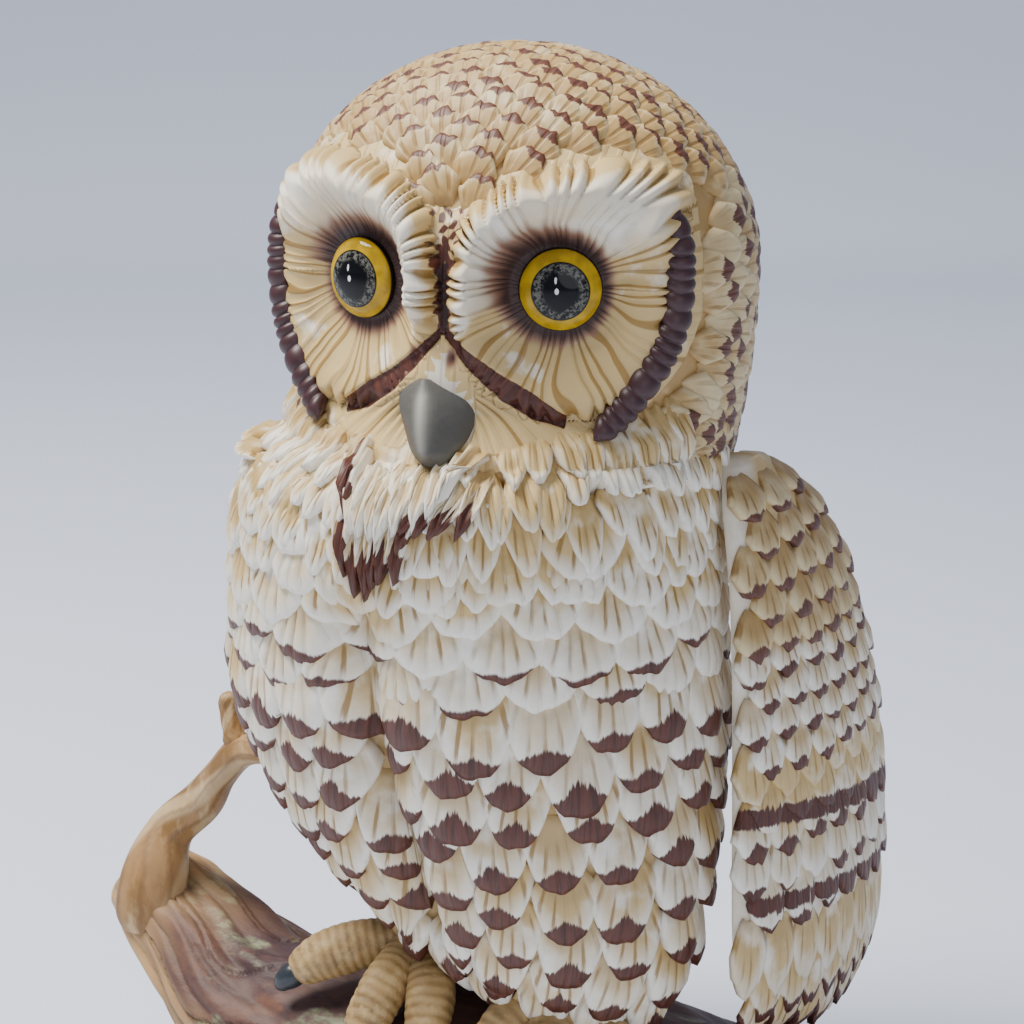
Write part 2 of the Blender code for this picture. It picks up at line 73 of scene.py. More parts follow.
# %% [markdown]
# ## Small tools
# A maker works from a few measured sections and fairs a smooth surface through them. The same is done
# here: a table of stations, and a cubic that runs through them without overshooting.

# %% Fairing and easing


def smooth_step(low, high, value):
    """0 below low, 1 above high, and 3t^2 - 2t^3 between."""
    t = np.clip((value - low) / (high - low), 0, 1)
    return t * t * (3 - 2 * t)


def fair(stations, places):
    """A cubic Hermite curve through every column of a station table, with its first column as the place."""
    table = np.asarray(stations, float)
    table = table[np.argsort(table[:, 0])]
    at, values = table[:, 0], table[:, 1:]
    steps = np.diff(at)
    slopes = np.diff(values, axis=0) / steps[:, None]
    tangents = np.vstack([slopes[:1], (slopes[1:] + slopes[:-1]) / 2, slopes[-1:]])
    tangents[1:-1][slopes[1:] * slopes[:-1] <= 0] = 0
    places = np.asarray(places, float)
    flat = np.clip(places.ravel(), at[0], at[-1])
    span = np.clip(np.searchsorted(at, flat) - 1, 0, len(steps) - 1)
    t = ((flat - at[span]) / steps[span])[:, None]
    rise = steps[span][:, None]
    found = (
        (2 * t**3 - 3 * t**2 + 1) * values[span]
        + (t**3 - 2 * t**2 + t) * rise * tangents[span]
        + (3 * t**2 - 2 * t**3) * values[span + 1]
        + (t**3 - t**2) * rise * tangents[span + 1]
    )
    return np.moveaxis(found.reshape(*places.shape, -1), -1, 0)


def unit(vectors):
    return vectors / np.linalg.norm(vectors, axis=-1, keepdims=True)


def wobble(x, seed, octaves=3):
    """Smooth made-up unevenness from -1 to 1: sines whose pitch doubles and whose phase comes from a seed."""
    phases = np.random.default_rng(seed).uniform(0, 2 * np.pi, octaves)
    return sum(np.sin(x * 1.9**k + p) / 1.6**k for k, p in enumerate(phases)) / 1.8


# %% [markdown]
# ## From arrays to a mesh
# Each piece is a closed skin of quads. Paint is carried as attributes on the points, so that a brush
# mark stays on its feather: `plume` says where on a feather a point is, `tint` how it is painted.

# %% Mesh builder


def skin(name, points, faces, material, attributes=None, triangles=None):
    """Puts whole arrays of points (mm) and of four- and three-cornered faces into one smooth mesh."""
    triangles = np.zeros((0, 3), int) if triangles is None else triangles
    mesh = bpy.data.meshes.new(name)
    mesh.vertices.add(len(points))
    mesh.vertices.foreach_set("co", (np.asarray(points) * MM).astype(np.float32).ravel())
    mesh.loops.add(faces.size + triangles.size)
    mesh.loops.foreach_set("vertex_index", np.concatenate([faces.ravel(), triangles.ravel()]).astype(np.int32))
    mesh.polygons.add(len(faces) + len(triangles))
    starts = np.concatenate([np.arange(len(faces)) * 4, faces.size + np.arange(len(triangles)) * 3])
    mesh.polygons.foreach_set("loop_start", starts.astype(np.int32))
    for key, values in (attributes or {}).items():
        values = np.asarray(values, np.float32)
        kind = "FLOAT_VECTOR" if values.ndim == 2 else "FLOAT"
        layer = mesh.attributes.new(key, kind, "POINT")
        layer.data.foreach_set("vector" if values.ndim == 2 else "value", values.ravel())
    mesh.update(calc_edges=True)
    mesh.validate()
    mesh.shade_smooth()
    mesh.materials.append(material)
    made = bpy.data.objects.new(name, mesh)
    bpy.context.scene.collection.objects.link(made)
    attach(made, "root")
    print(f"{name}: {len(points)} points, {len(faces) * 2 + len(triangles)} triangles")
    return made


def grid_faces(rows, columns, wrap=False):
    """The quads of a grid. With wrap, the last column joins the first."""
    r, c = np.meshgrid(np.arange(rows - 1), np.arange(columns if wrap else columns - 1), indexing="ij")
    nxt = (c + 1) % columns
    return np.stack(
        [r * columns + c, r * columns + nxt, (r + 1) * columns + nxt, (r + 1) * columns + c], -1
    ).reshape(-1, 4)


def grid_rim(rows, columns):
    """The points round the outside of a grid, in order."""
    return np.concatenate([
        np.arange(columns),
        np.arange(1, rows) * columns + columns - 1,
        (rows - 1) * columns + np.arange(columns - 2, -1, -1),
        np.arange(rows - 2, 0, -1) * columns,
    ])


def full_turn(count):
    """Angles evenly spaced round a circle, each once."""
    return np.linspace(0, 2 * np.pi, count + 1)[:-1]


def closed_rings(name, rings, material, attributes=None, flip=False):
    """A tube of rings whose two ends close on their middle points."""
    rows, around = rings.shape[:2]
    points = np.vstack([rings.reshape(-1, 3), rings[0].mean(0), rings[-1].mean(0)])
    faces = grid_faces(rows, around, wrap=True)
    k = np.arange(around)
    first = np.column_stack([(k + 1) % around, k, np.full(around, rows * around)])
    last = np.column_stack([k, (k + 1) % around, np.full(around, rows * around + 1)])
    last[:, :2] += (rows - 1) * around
    triangles = np.vstack([first, last])
    if flip:
        faces, triangles = faces[:, ::-1], triangles[:, ::-1]
    padded = {}
    for key, values in (attributes or {}).items():
        values = np.asarray(values, float).reshape(rows * around, *np.shape(values)[2:])
        ends = [values[:around].mean(0, keepdims=True), values[-around:].mean(0, keepdims=True)]
        padded[key] = np.concatenate([values, *ends])
    return skin(name, points, faces, material, padded, triangles)


# %% [markdown]
# ## Paint and clay
# One small function adds a node. Colours are written as sRGB hex, as a paint card would give them.

# %% Node and colour helpers


def colour(hex_code):
    """sRGB hex to the linear light values that shaders use."""
    channel = np.array([int(hex_code[k : k + 2], 16) / 255 for k in (1, 3, 5)])
    linear = np.where(channel <= 0.04045, channel / 12.92, ((channel + 0.055) / 1.055) ** 2.4)
    return (*linear.tolist(), 1.0)


def put(tree, kind, settings=None, inputs=None):
    """Adds a node with its settings, and sets or links its inputs, each named or numbered."""
    made = tree.nodes.new("ShaderNode" + kind)
    for key, value in (settings or {}).items():
        setattr(made, key, value)
    for key, value in (inputs or {}).items():
        if isinstance(value, Field):
            value = value.socket
        if isinstance(value, bpy.types.Node):
            value = value.outputs[0]
        if isinstance(value, bpy.types.NodeSocket):
            tree.links.new(value, made.inputs[key])
        else:
            made.inputs[key].default_value = value
    return made


class Field:
    """A value in a node tree that adds, subtracts and multiplies like a number, by adding Math nodes."""

    def __init__(self, tree, socket):
        self.tree, self.socket = tree, socket

    def maths(self, operation, first, second=0.0):
        made = put(self.tree, "Math", {"operation": operation}, {0: first, 1: second})
        return Field(self.tree, made.outputs[0])

    def __add__(self, other):
        return self.maths("ADD", self, other)

    def __sub__(self, other):
        return self.maths("SUBTRACT", self, other)

    def __rsub__(self, other):
        return self.maths("SUBTRACT", other, self)

    def __mul__(self, other):
        return self.maths("MULTIPLY", self, other)

    def larger(self, other):
        return self.maths("MAXIMUM", self, other)

    def cosine(self):
        return self.maths("COSINE", self)

    def clamped(self):
        self.socket.node.use_clamp = True
        return self

    def ease(self, low, high):
        """0 at low and 1 at high, with a smooth step between. Low may be the larger."""
        settings, ends = {"interpolation_type": "SMOOTHSTEP"}, {0: self, 1: low, 2: high, 3: 0.0, 4: 1.0}
        return Field(self.tree, put(self.tree, "MapRange", settings, ends).outputs[0])


def attribute(tree, name, part="Fac"):
    return Field(tree, put(tree, "Attribute", {"attribute_name": name}).outputs[part])


def parts_of(tree, name):
    """The three numbers of a vector attribute."""
    split = put(tree, "SeparateXYZ", {}, {0: attribute(tree, name, "Vector")})
    return [Field(tree, socket) for socket in split.outputs]


def object_place(tree):
    return put(tree, "TexCoord").outputs["Object"]


def noise(tree, where, scale, detail, roughness=0.5):
    look = {"Vector": where, "Scale": scale, "Detail": detail, "Roughness": roughness}
    return Field(tree, put(tree, "TexNoise", {}, look).outputs[0])


def mix(tree, share, first, second):
    """The first colour where share is 0, and the second where it is 1."""
    first, second = (colour(c) if isinstance(c, str) else c for c in (first, second))
    return put(tree, "MixRGB", {}, {0: share, 1: first, 2: second})


def start_material(name, roughness, constants=None):
    """A Principled material and its tree, with the constants on the shader's own sockets."""
    material = bpy.data.materials.new(name)
    material.use_nodes = True
    tree = material.node_tree
    shader = tree.nodes["Principled BSDF"]
    for key, value in {"Roughness": roughness, "IOR": 1.5, **(constants or {})}.items():
        shader.inputs[key].default_value = value
    return material, tree, shader


def paint_and_grain(tree, shader, paint, height=None, strength=0.5, depth=0.001):
    """Ends a material: its colour, and a bump of a given depth in metres."""
    tree.links.new(paint.outputs[0], shader.inputs["Base Color"])
    if height is not None:
        bump = put(tree, "Bump", {}, {"Strength": strength, "Distance": depth, "Height": height})
        tree.links.new(bump.outputs[0], shader.inputs["Normal"])


PAPER_WHITE = "#F5F0E2"
CREAM_WASH = "#CBA758"
OCHRE_WASH = "#946F2C"
OLIVE_WASH = "#705425"
BROWN_PAINT = "#5C2F20"
DARK_PAINT = "#351813"
print("paint card:", PAPER_WHITE, CREAM_WASH, OCHRE_WASH, OLIVE_WASH, BROWN_PAINT, DARK_PAINT)

# %% [markdown]
# ## Painted bisque
# Bisque is porcelain fired without glaze: a matte, faintly grainy white that lets a little light in.
# The decorator first rubs a thin ochre wash into the hollows, where it stays, and wipes it off the
# high places. Then each feather gets short ochre strokes down its grooves, and a brown crescent that
# is crisp along the feather's edge and streaky where the brush was lifted. All three masks are
# worked out from the feather's own coordinates, so no two feathers come out alike.

# %% Material: painted bisque


def painted_bisque(name, base, wash, groove, brown, dark):
    material, tree, shader = start_material(
        name, 0.5,
        {"Subsurface Weight": 0.05, "Subsurface Radius": (1.0, 0.85, 0.7), "Subsurface Scale": 0.0012},
    )
    across, along, seed = parts_of(tree, "plume")
    mark, washed, grooves = parts_of(tree, "tint")
    more_brown, more_ochre, more_dark = parts_of(tree, "extra")
    where = object_place(tree)
    cloud, broad = noise(tree, where, 140.0, 3.0), noise(tree, where, 34.0, 3.0)
    speck = noise(tree, where, 900.0, 4.0, 0.7)
    # the brush leaves hairs about 0.5 mm apart, which run along the feather
    hairs_at = put(tree, "CombineXYZ", {}, {0: across * 13.0, 1: along * 2.2, 2: seed * 57.0})
    hairs = noise(tree, hairs_at, 1.0, 3.0, 0.65)
    # ochre wash: strongest at the root of each feather, broken up by the cloud
    wash_mask = along.ease(1.02, 0.52) * washed * cloud.ease(0.22, 0.56)
    wash_mask = (wash_mask + more_ochre * cloud.ease(0.15, 0.6)).clamped()
    wash_mask = (wash_mask + broad.ease(0.48, 0.72) * washed * 0.45).clamped()
    # strokes lie in the grooves, a cosine across the feather, and some are left out
    ripple = (across * grooves * np.pi).cosine()
    uneven = (hairs - 0.5) * 1.3
    held_at = put(tree, "CombineXYZ", {}, {0: across * 1.7, 1: along, 2: seed * 91.0})
    stroke = (ripple + uneven).ease(0.48, 1.0) * along.ease(0.34, 0.54)
    stroke = stroke * (along + uneven * 0.35).ease(0.94, 0.74) * noise(tree, held_at, 1.0, 1.0).ease(0.36, 0.56)
    stroke = (stroke * washed * 1.25).clamped()
    # the crescent is widest at the middle of the tip and runs out towards the sides
    lifted = (hairs - 0.5) * 0.6
    reach = 1.0 - (1.0 - across * across * 2.6 + lifted) * mark
    crescent = (along - reach).ease(-0.012, 0.03) * mark.ease(0.01, 0.05)
    crescent = crescent.larger((more_brown + lifted).ease(0.38, 0.58)).clamped()
    darker = (hairs.ease(0.42, 0.66) * 0.75).larger((more_dark + lifted).ease(0.4, 0.6)).clamped()
    # on the clay: the wash, the stain at each root, the strokes, specks of grime, and brown painted shade round
    # the eyes and in the nostrils
    crease = along.ease(0.68, 0.42) * washed * cloud.ease(0.3, 0.6)
    painted_shade = (attribute(tree, "painted_shade") * (hairs * 0.45 + 0.72)).clamped()
    clay = mix(tree, wash_mask * 0.85, base, wash)
    clay = mix(tree, crease * 0.45, clay, groove)
    clay = mix(tree, stroke * 0.85, clay, groove)
    clay = mix(tree, speck.ease(0.60, 0.74) * 0.16, clay, OLIVE_WASH)
    # brown painted shade round the eyes and in the nostrils, nearly black where it is strongest
    clay = mix(tree, painted_shade.ease(0.02, 0.6), clay, mix(tree, painted_shade.ease(0.45, 0.95), "#8C6650", "#3A2018"))
    painted = mix(tree, crescent, clay, mix(tree, darker, brown, dark))
    # grooves and the grain of the fired clay
    relief = ripple.ease(0.2, 1.0) * along.ease(0.25, 0.5) * -0.2
    paint_and_grain(tree, shader, painted, relief + speck * 0.05, 0.7)
    print(name, len(tree.nodes), "nodes")
    return material


white_bisque = painted_bisque(
    "white_bisque_with_ochre_wash", PAPER_WHITE, CREAM_WASH, OCHRE_WASH, BROWN_PAINT, DARK_PAINT
)
tan_bisque = painted_bisque("tan_washed_bisque", "#D9C598", "#B48E50", "#94703A", "#673B28", "#44231B")

# %% [markdown]
# ## The body casting
# The torso is a bag-shaped hollow casting with a parting groove down the breast, and it leans to the
# owl's left, where the limb falls away. It has nearly the same sections as the CAD body, made into a
# ratio: 1 on the skin and less inside. Anything can then be laid on the skin by sliding it out along
# a ray until its ratio is 1, and the ratio's slope gives the outward direction.

# %% Body sections
BODY_STATIONS = (
    (50.0, 11.0, 31.0, 31.0, 8.0),
    (58.0, 7.5, 38.5, 36.5, 17.0),
    (72.0, 3.5, 45.5, 43.0, 26.0),
    (90.0, 1.0, 49.2, 49.0, 33.0),
    (112.0, 0.0, 50.8, 55.0, 36.5),
    (132.0, 0.0, 50.0, 57.0, 37.0),
    (145.0, 0.0, 49.0, 57.0, 36.5),
    (150.0, 0.0, 47.0, 55.5, 35.5),
)
BODY_MIDDLE_Y = -11.0
BODY_BOTTOM, BODY_TOP = 44.0, 150.0
BODY_LEAN, BODY_LEAN_TOP = 0.27, 112.0
PART_DEPTH, PART_WIDTH = 7.5, 5.5
SLIM = 2.7  # the bare form lies this far inside the tips of its feathers


def body_section(q):
    """The section that each point belongs to: its height, middle X, half width, front and back reach."""
    height = q[..., 2]
    for _ in range(4):
        lean = BODY_LEAN * (1 - smooth_step(BODY_BOTTOM, BODY_LEAN_TOP, height))
        height = q[..., 2] + lean * q[..., 0]
    middle, half, front, back = fair(BODY_STATIONS, height)
    under = np.sqrt(np.clip(1 - (np.clip(50 - height, 0, None) / 7.5) ** 2, 0.03, 1))
    over = 1 - 0.12 * np.clip(height - BODY_TOP, 0, 6)
    seam_x = -4.5 * smooth_step(58, 126, height)
    groove = PART_DEPTH * np.exp(-(((q[..., 0] - seam_x) / PART_WIDTH) ** 2))
    groove = groove * smooth_step(50, 60, height) * (1 - smooth_step(120, 134, height))
    half, front, back = half - SLIM, front + BODY_MIDDLE_Y - groove - SLIM, back - BODY_MIDDLE_Y - SLIM
    return height, middle, half * under * over, front * under * over, back * under * over


def body_ratio(q):
    """Half an ellipse in front and half behind: the root of (x/a)^2 + (y/b)^2."""
    _, middle, half, front, back = body_section(q)
    y = q[..., 1] - BODY_MIDDLE_Y
    return np.sqrt(((q[..., 0] - middle) / half) ** 2 + (y / np.where(y < 0, front, back)) ** 2)


def body_axis(q):
    middle = body_section(q)[1]
    return np.stack([middle, np.full_like(middle, BODY_MIDDLE_Y), q[..., 2]], -1)


def onto(ratio, axis, q, rounds=3):
    """Slides points along their rays from a form's axis onto its skin, and finds the outward normals."""
    for _ in range(rounds):
        centre = axis(q)
        q = centre + (q - centre) / ratio(q)[..., None]
    slope = np.stack([ratio(q + 0.3 * e) - ratio(q - 0.3 * e) for e in np.eye(3)], -1)
    return q, unit(slope)


def on_body(q):
    return onto(body_ratio, body_axis, q)


print("body reaches", fair(BODY_STATIONS, [60.0, 100.0, 140.0])[1], "mm each side")

# %% [markdown]
# ## The head casting
# The head is an egg with a flatter front, turned 5 degrees to the owl's left. Under the chin it
# swells forward to meet the breast.

# %% Head sections
HEAD_CENTRE = np.array([5.6, -3.0, 186.0])
HEAD_TURN = np.radians(5.0)
HEAD_HALF_WIDTH, HEAD_FRONT, HEAD_BACK = 46.6, 40.5, 42.0
HEAD_CROWN, HEAD_TAPER = 41.0, 88.0
CHIN_FLARE, CHIN_FLARE_LOW, CHIN_FLARE_TOP = 12.5, -36.0, -22.0
HEAD_TIGHTEN = 1.028  # the bare form lies this share inside the tips of its feathers


def head_local(q):
    """From the owl's frame to the head's own: across, depth and height from the head's centre."""
    c, s = np.cos(HEAD_TURN), np.sin(HEAD_TURN)
    d = q - HEAD_CENTRE
    return np.stack([c * d[..., 0] + s * d[..., 1], -s * d[..., 0] + c * d[..., 1], d[..., 2]], -1)


def head_turned(v):
    """Directions from the head's own frame to the owl's."""
    c, s = np.cos(HEAD_TURN), np.sin(HEAD_TURN)
    return np.stack([c * v[..., 0] - s * v[..., 1], s * v[..., 0] + c * v[..., 1], v[..., 2]], -1)


def head_world(p):
    return head_turned(p) + HEAD_CENTRE


def head_profile(z):
    """The height as a share of the egg's own reach up or down, and how far the chin swells forward."""
    rise = np.where(z > 0, z / HEAD_CROWN, z / HEAD_TAPER)
    return rise, CHIN_FLARE * (1 - smooth_step(CHIN_FLARE_LOW, CHIN_FLARE_TOP, z))


def head_ratio(q):
    p = head_local(q)
    rise, flare = head_profile(p[..., 2])
    reach = np.where(p[..., 1] < 0, HEAD_FRONT + flare, HEAD_BACK)
    return HEAD_TIGHTEN * np.sqrt((p[..., 0] / HEAD_HALF_WIDTH) ** 2 + (p[..., 1] / reach) ** 2 + rise**2)


def head_axis(q):
    centre = np.broadcast_to(HEAD_CENTRE, q.shape).copy()
    centre[..., 2] = np.minimum(q[..., 2], HEAD_CENTRE[2])
    return centre


def on_head(q):
    return onto(head_ratio, head_axis, q)


print("head reaches", HEAD_HALF_WIDTH, "mm each side of", HEAD_CENTRE)

# %% [markdown]
# ## Feathers
# On the real casting each feather is a raised scale cut into the clay, thin at its root and thick at
# its tip, which overlaps the next row. It could be a displacement map, but a map has no real edge.
# Here each feather is its own closed scale, laid on the casting: a small grid whose lines fan out
# from the root, raised along its length, domed across, rolled off at the rim and sunk into the clay.

# %% Feather builder


def feathers(name, on_form, seats, lie, length, half, material, **look):
    """Lays scales on a form. seats are root points and lie the directions to the tips.

    Across a scale u runs from -1 to 1 and along it v from 0 to 1. A point is half * u * v^widen to
    the side and length * v * (1 - round * |u|^2) down, and stands above the form by
    sink + lift * v^0.8 + dome * (1 - u^2) * v, less a roll-off at the rim.
    """
    count = len(seats)
    nu, nv = look.get("grid", (9, 5))

    def spread(key, default):
        return np.broadcast_to(look.get(key, default), count).astype(float)[:, None, None]

    lift, dome, roundness = spread("lift", 1.6), spread("dome", 0.5), spread("round", 0.5)
    widen, grooves, cut = look.get("widen", 0.55), look.get("grooves", 0), look.get("cut", 0.0)
    length, half = (np.broadcast_to(a, count).astype(float)[:, None, None] for a in (length, half))
    u = np.linspace(-1, 1, nu)[None, None, :]
    v = np.concatenate([np.linspace(0.1, 0.8, nv - 2), [0.93, 1.0]])[None, :, None]
    seed = rng.random(count)[:, None, None]
    edge_wave = 0.035 * np.sin(u * 9 + seed * 40) + 0.02 * np.sin(u * 17 + seed * 90)
    side = half * u * v**widen
    edge_wave = edge_wave * look.get("ragged", 1.0)
    down = length * v * (1 - roundness * np.abs(u) ** look.get("point", 2.0) + edge_wave)
    seats, normal = on_form(seats)
    lie = unit(lie - np.sum(lie * normal, -1, keepdims=True) * normal)
    across = np.cross(lie, normal)
    spots = seats[:, None, None] + side[..., None] * across[:, None, None]
    spots = spots + down[..., None] * lie[:, None, None]
    spots, normals = on_form(spots)
    groove = np.clip(np.cos(u * grooves * np.pi), 0, 1) ** 2
    groove = groove * smooth_step(0.2, 0.45, v) * (1 - smooth_step(0.7, 0.98, v))
    height = -0.5 + (lift + 0.5) * v**0.8 + dome * (1 - u**2) * v - cut * groove * (grooves > 0)
    height = height - 0.45 * lift * smooth_step(0.85, 1.0, v) - 0.4 * lift * v * np.abs(u) ** 5
    top = spots + height[..., None] * normals
    base = spots - look.get("depth", 1.0) * normals
    rim = grid_rim(nv, nu)
    flat_top, flat_base = top.reshape(count, -1, 3), base.reshape(count, -1, 3)
    skirt = flat_base[:, rim]
    middle = flat_base[:, (nv // 2) * nu + nu // 2][:, None]
    points = np.concatenate([flat_top, skirt, middle], 1)
    around = len(rim)
    k = np.arange(around)
    nxt = (k + 1) % around
    one = np.vstack([grid_faces(nv, nu), np.column_stack([rim[nxt], rim[k], nv * nu + k, nv * nu + nxt])])
    cap = np.column_stack([nv * nu + nxt, nv * nu + k, np.full(around, nv * nu + around)])
    step = (np.arange(count) * points.shape[1])[:, None, None]

    def pick(values):
        """Values over the grid, again for the skirt below its rim, and once for the point under it."""
        flat = np.broadcast_to(values, (count, nv, nu)).reshape(count, -1)
        return np.concatenate([flat, flat[:, rim], flat[:, :1]], 1).ravel()

    mark, wash = spread("mark", 0.0), spread("wash", 0.6)
    plume = np.column_stack([pick(u), pick(v), pick(seed)])
    strokes = np.full_like(seed, max(grooves, look.get("strokes", 4)))
    tint = np.column_stack([pick(mark), pick(wash), pick(strokes)])
    extra = look["extra"](spots, u, v) if "extra" in look else (0 * spots[..., 0],) * 3
    extra = np.column_stack([pick(e) for e in extra])
    return skin(
        name, points.reshape(-1, 3), (one[None] + step).reshape(-1, 4), material,
        {"plume": plume, "tint": tint, "extra": extra}, (cap[None] + step).reshape(-1, 3),
    )


def jitter(count, amount):
    return rng.uniform(-amount, amount, count)


# %% [markdown]
# ## Rows of feathers on the breast and back
# The breast has broad, short scales, the belly puffy round-ended ones in two lobes, and the back
# broad scales again. Each row starts half a feather away from the one above it. The lowest breast
# rows have thin brown crescents, and the belly bold ones.

# %% Body rows


def body_row(height, spacing, offset):
    """Seats evenly spaced round one section of the body, and each one's angle from the breast."""
    turn = np.linspace(-np.pi, np.pi, 721)
    middle, half, front, back = fair(BODY_STATIONS, np.full(721, height))
    lean = BODY_LEAN * (1 - smooth_step(BODY_BOTTOM, BODY_LEAN_TOP, height))
    reach = np.where(np.cos(turn) > 0, front + BODY_MIDDLE_Y, back - BODY_MIDDLE_Y)
    x = middle + half * np.sin(turn)
    ring = np.column_stack([x, BODY_MIDDLE_Y - reach * np.cos(turn), height - lean * x])
    walked = np.concatenate([[0], np.cumsum(np.linalg.norm(np.diff(ring, axis=0), axis=1))])
    count = int(round(walked[-1] / spacing))
    at = (np.arange(count) + offset) / count * walked[-1]
    return np.column_stack([np.interp(at, walked, ring[:, k]) for k in range(3)]), np.interp(at, walked, turn)


def body_tract(rows, spacing, seed_offset=0.0):
    """Seats, angles and row numbers of several rows."""
    made = [body_row(h, spacing, (0.5 * (k % 2) + seed_offset) % 1) for k, h in enumerate(rows)]
    seats = np.vstack([m[0] for m in made])
    turns = np.concatenate([m[1] for m in made])
    number = np.concatenate([np.full(len(m[1]), k) for k, m in enumerate(made)])
    return seats, turns, number


def hang(seats, fan=0.0):
    """The direction in which feathers hang: down, fanned a little away from the middle line."""
    lie = np.zeros_like(seats)
    lie[:, 2] = -1
    lie[:, 0] = fan * seats[:, 0] / 50 + jitter(len(seats), 0.07)
    return lie


# %% [markdown]
# The belly feathers are the puffiest: each is modelled domed, like a fingertip. A flat scale would
# lose the deep shadow under every row, so the dome here is nearly as high as the tip's lift.

# %% Belly and flanks
belly_rows = np.array([118.5, 109.5, 100.5, 91.5, 82.5, 74.0, 66.0, 59.0, 53.0])
seats, turns, number = body_tract(belly_rows, 13.2)
seats[:, 2] += jitter(len(seats), 1.2) + 2.0 * np.cos(turns * 5)
keep = np.abs(turns) < 2.25
seats, turns, number = seats[keep], turns[keep], number[keep]
size = np.clip(1.06 - 0.035 * number, 0.75, 1.1) * rng.uniform(0.92, 1.08, len(seats))
belly = feathers(
    "belly_feathers", on_body, seats, hang(seats, 0.05), 18.5 * size, 7.4 * size, white_bisque,
    grid=(17, 9), lift=2.9 * size, dome=2.4, round=0.6, point=2.7, widen=0.42, grooves=5, cut=0.3,
    mark=rng.uniform(0.20, 0.38, len(seats)), wash=rng.uniform(0.5, 1.0, len(seats)), ragged=0.4,
)

# %% [markdown]
# The breast feathers are broad and shallow, with five notches cut in from the tip. The notches are
# modelled, not only painted, because the ochre wash pools in them.

# %% Breast
bib_rows = np.array([155.0, 150.0, 144.5, 138.0, 131.5, 125.0])
seats, turns, number = body_tract(bib_rows, 14.6, 0.25)
seats[:, 2] += jitter(len(seats), 1.0) - 2.0 * (np.abs(turns) < 0.1)
keep = np.abs(turns) < 2.1
seats, turns, number = seats[keep], turns[keep], number[keep]
size = rng.uniform(0.94, 1.08, len(seats))
bib_mark = np.where(number >= 4, rng.uniform(0.10, 0.20, len(seats)), 0.0) * (rng.random(len(seats)) < 0.85)
bib = feathers(
    "breast_feathers", on_body, seats, hang(seats, 0.15), 16.0 * size, 9.2 * size, white_bisque,
    grid=(25, 8), lift=2.4, dome=1.2, round=0.5, point=2.4, widen=0.7, grooves=6, cut=0.6,
    mark=bib_mark, wash=rng.uniform(0.9, 1.5, len(seats)) * np.where(number < 4, 1.0, 0.6), ragged=0.6,
)

# %% [markdown]
# The back is plainer: the same scales in tan, with fewer tool marks, as on the side that faces a wall.

# %% Back
back_rows = np.array([151.0, 145.5, *np.arange(139.0, 66.0, -8.0), 60.0, 53.0])
seats, turns, number = body_tract(back_rows, 12.5, 0.1)
keep = np.abs(turns) > 1.95
seats, turns, number = seats[keep], turns[keep], number[keep]
size = rng.uniform(0.92, 1.08, len(seats))
back = feathers(
    "back_feathers", on_body, seats, hang(seats), 15.5 * size, 7.6 * size, tan_bisque,
    grid=(9, 6), lift=1.7, dome=0.8, round=0.5, widen=0.55, grooves=0, strokes=4,
    mark=rng.uniform(0.14, 0.26, len(seats)), wash=rng.uniform(0.6, 1.0, len(seats)),
)

# %% [markdown]
# The casting itself closes the gaps between scales. It is one bag of rings, slid onto the same skin.

# %% Body casting under the feathers


def plain_paint(shape, wash, brown=0.0):
    """Attributes for bare clay: no feather, an even wash."""
    count = int(np.prod(shape))
    zero = np.zeros(count)
    plume = np.column_stack([zero + 0.5, zero + 0.2, zero + 0.3]).reshape(*shape, 3)
    tint = np.column_stack([zero, zero + wash, zero]).reshape(*shape, 3)
    extra = np.column_stack([zero + brown, zero, zero]).reshape(*shape, 3)
    return {"plume": plume, "tint": tint, "extra": extra}


turn = full_turn(96)[None]
levels = np.concatenate([[44.5, 46.0, 48.0], np.linspace(51, 149.5, 50)])[:, None]
flat = 0 * (levels + turn)
start = np.stack([8 + 20 * np.sin(turn) + flat, BODY_MIDDLE_Y - 15 * np.cos(turn) + flat, levels + flat], -1)
rings, _ = on_body(start)
body_casting = closed_rings("body_casting", rings[::-1], white_bisque, plain_paint(rings.shape[:2], 1.0))
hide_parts("body")

# %% [markdown]
# ## The face
# The face is modelled deepest of all: two dished discs round the eyes, whose barbs run outwards and
# end in ragged tufts, a thick pale brow over each, a dark seam between them, and a muzzle that swells
# round the beak. One dense grid carries all of it. Each disc has its own polar coordinates about its
# eye, and its outline is a table of radii against the angle, from the outer side and upwards.

# %% Face relief and paint
EYE_X, EYE_Z = 18.6, -0.4
EYE_SPLAY = np.radians(19.0)
DISC_EDGE = (  # angle in degrees, radius
    (0, 19.5), (30, 24), (45, 27), (60, 25.5), (90, 22), (120, 21), (135, 20.5), (150, 19), (180, 17.6),
    (210, 18.8), (225, 20), (240, 21.5), (270, 23.5), (300, 24.5), (315, 23.5), (330, 21.2), (360, 19.5),
)
SHADE_REACH = (  # angle in degrees, reach of the brown painted shade round the eye
    (0, 2.0), (45, 2.8), (90, 4.0), (135, 4.2), (180, 2.6), (225, 2.2), (270, 2.8), (315, 2.4), (360, 2.0),
)
BARBS = 46
SOCKET_EDGE, SOCKET_DEPTH = 8.0, 5.2
SEAM = np.array([(0.6, -8.2, 1.1), (5, -13.0, 1.8), (10.2, -17.6, 2.4), (16, -21.3, 2.6), (21.5, -24.3, 1.3)])


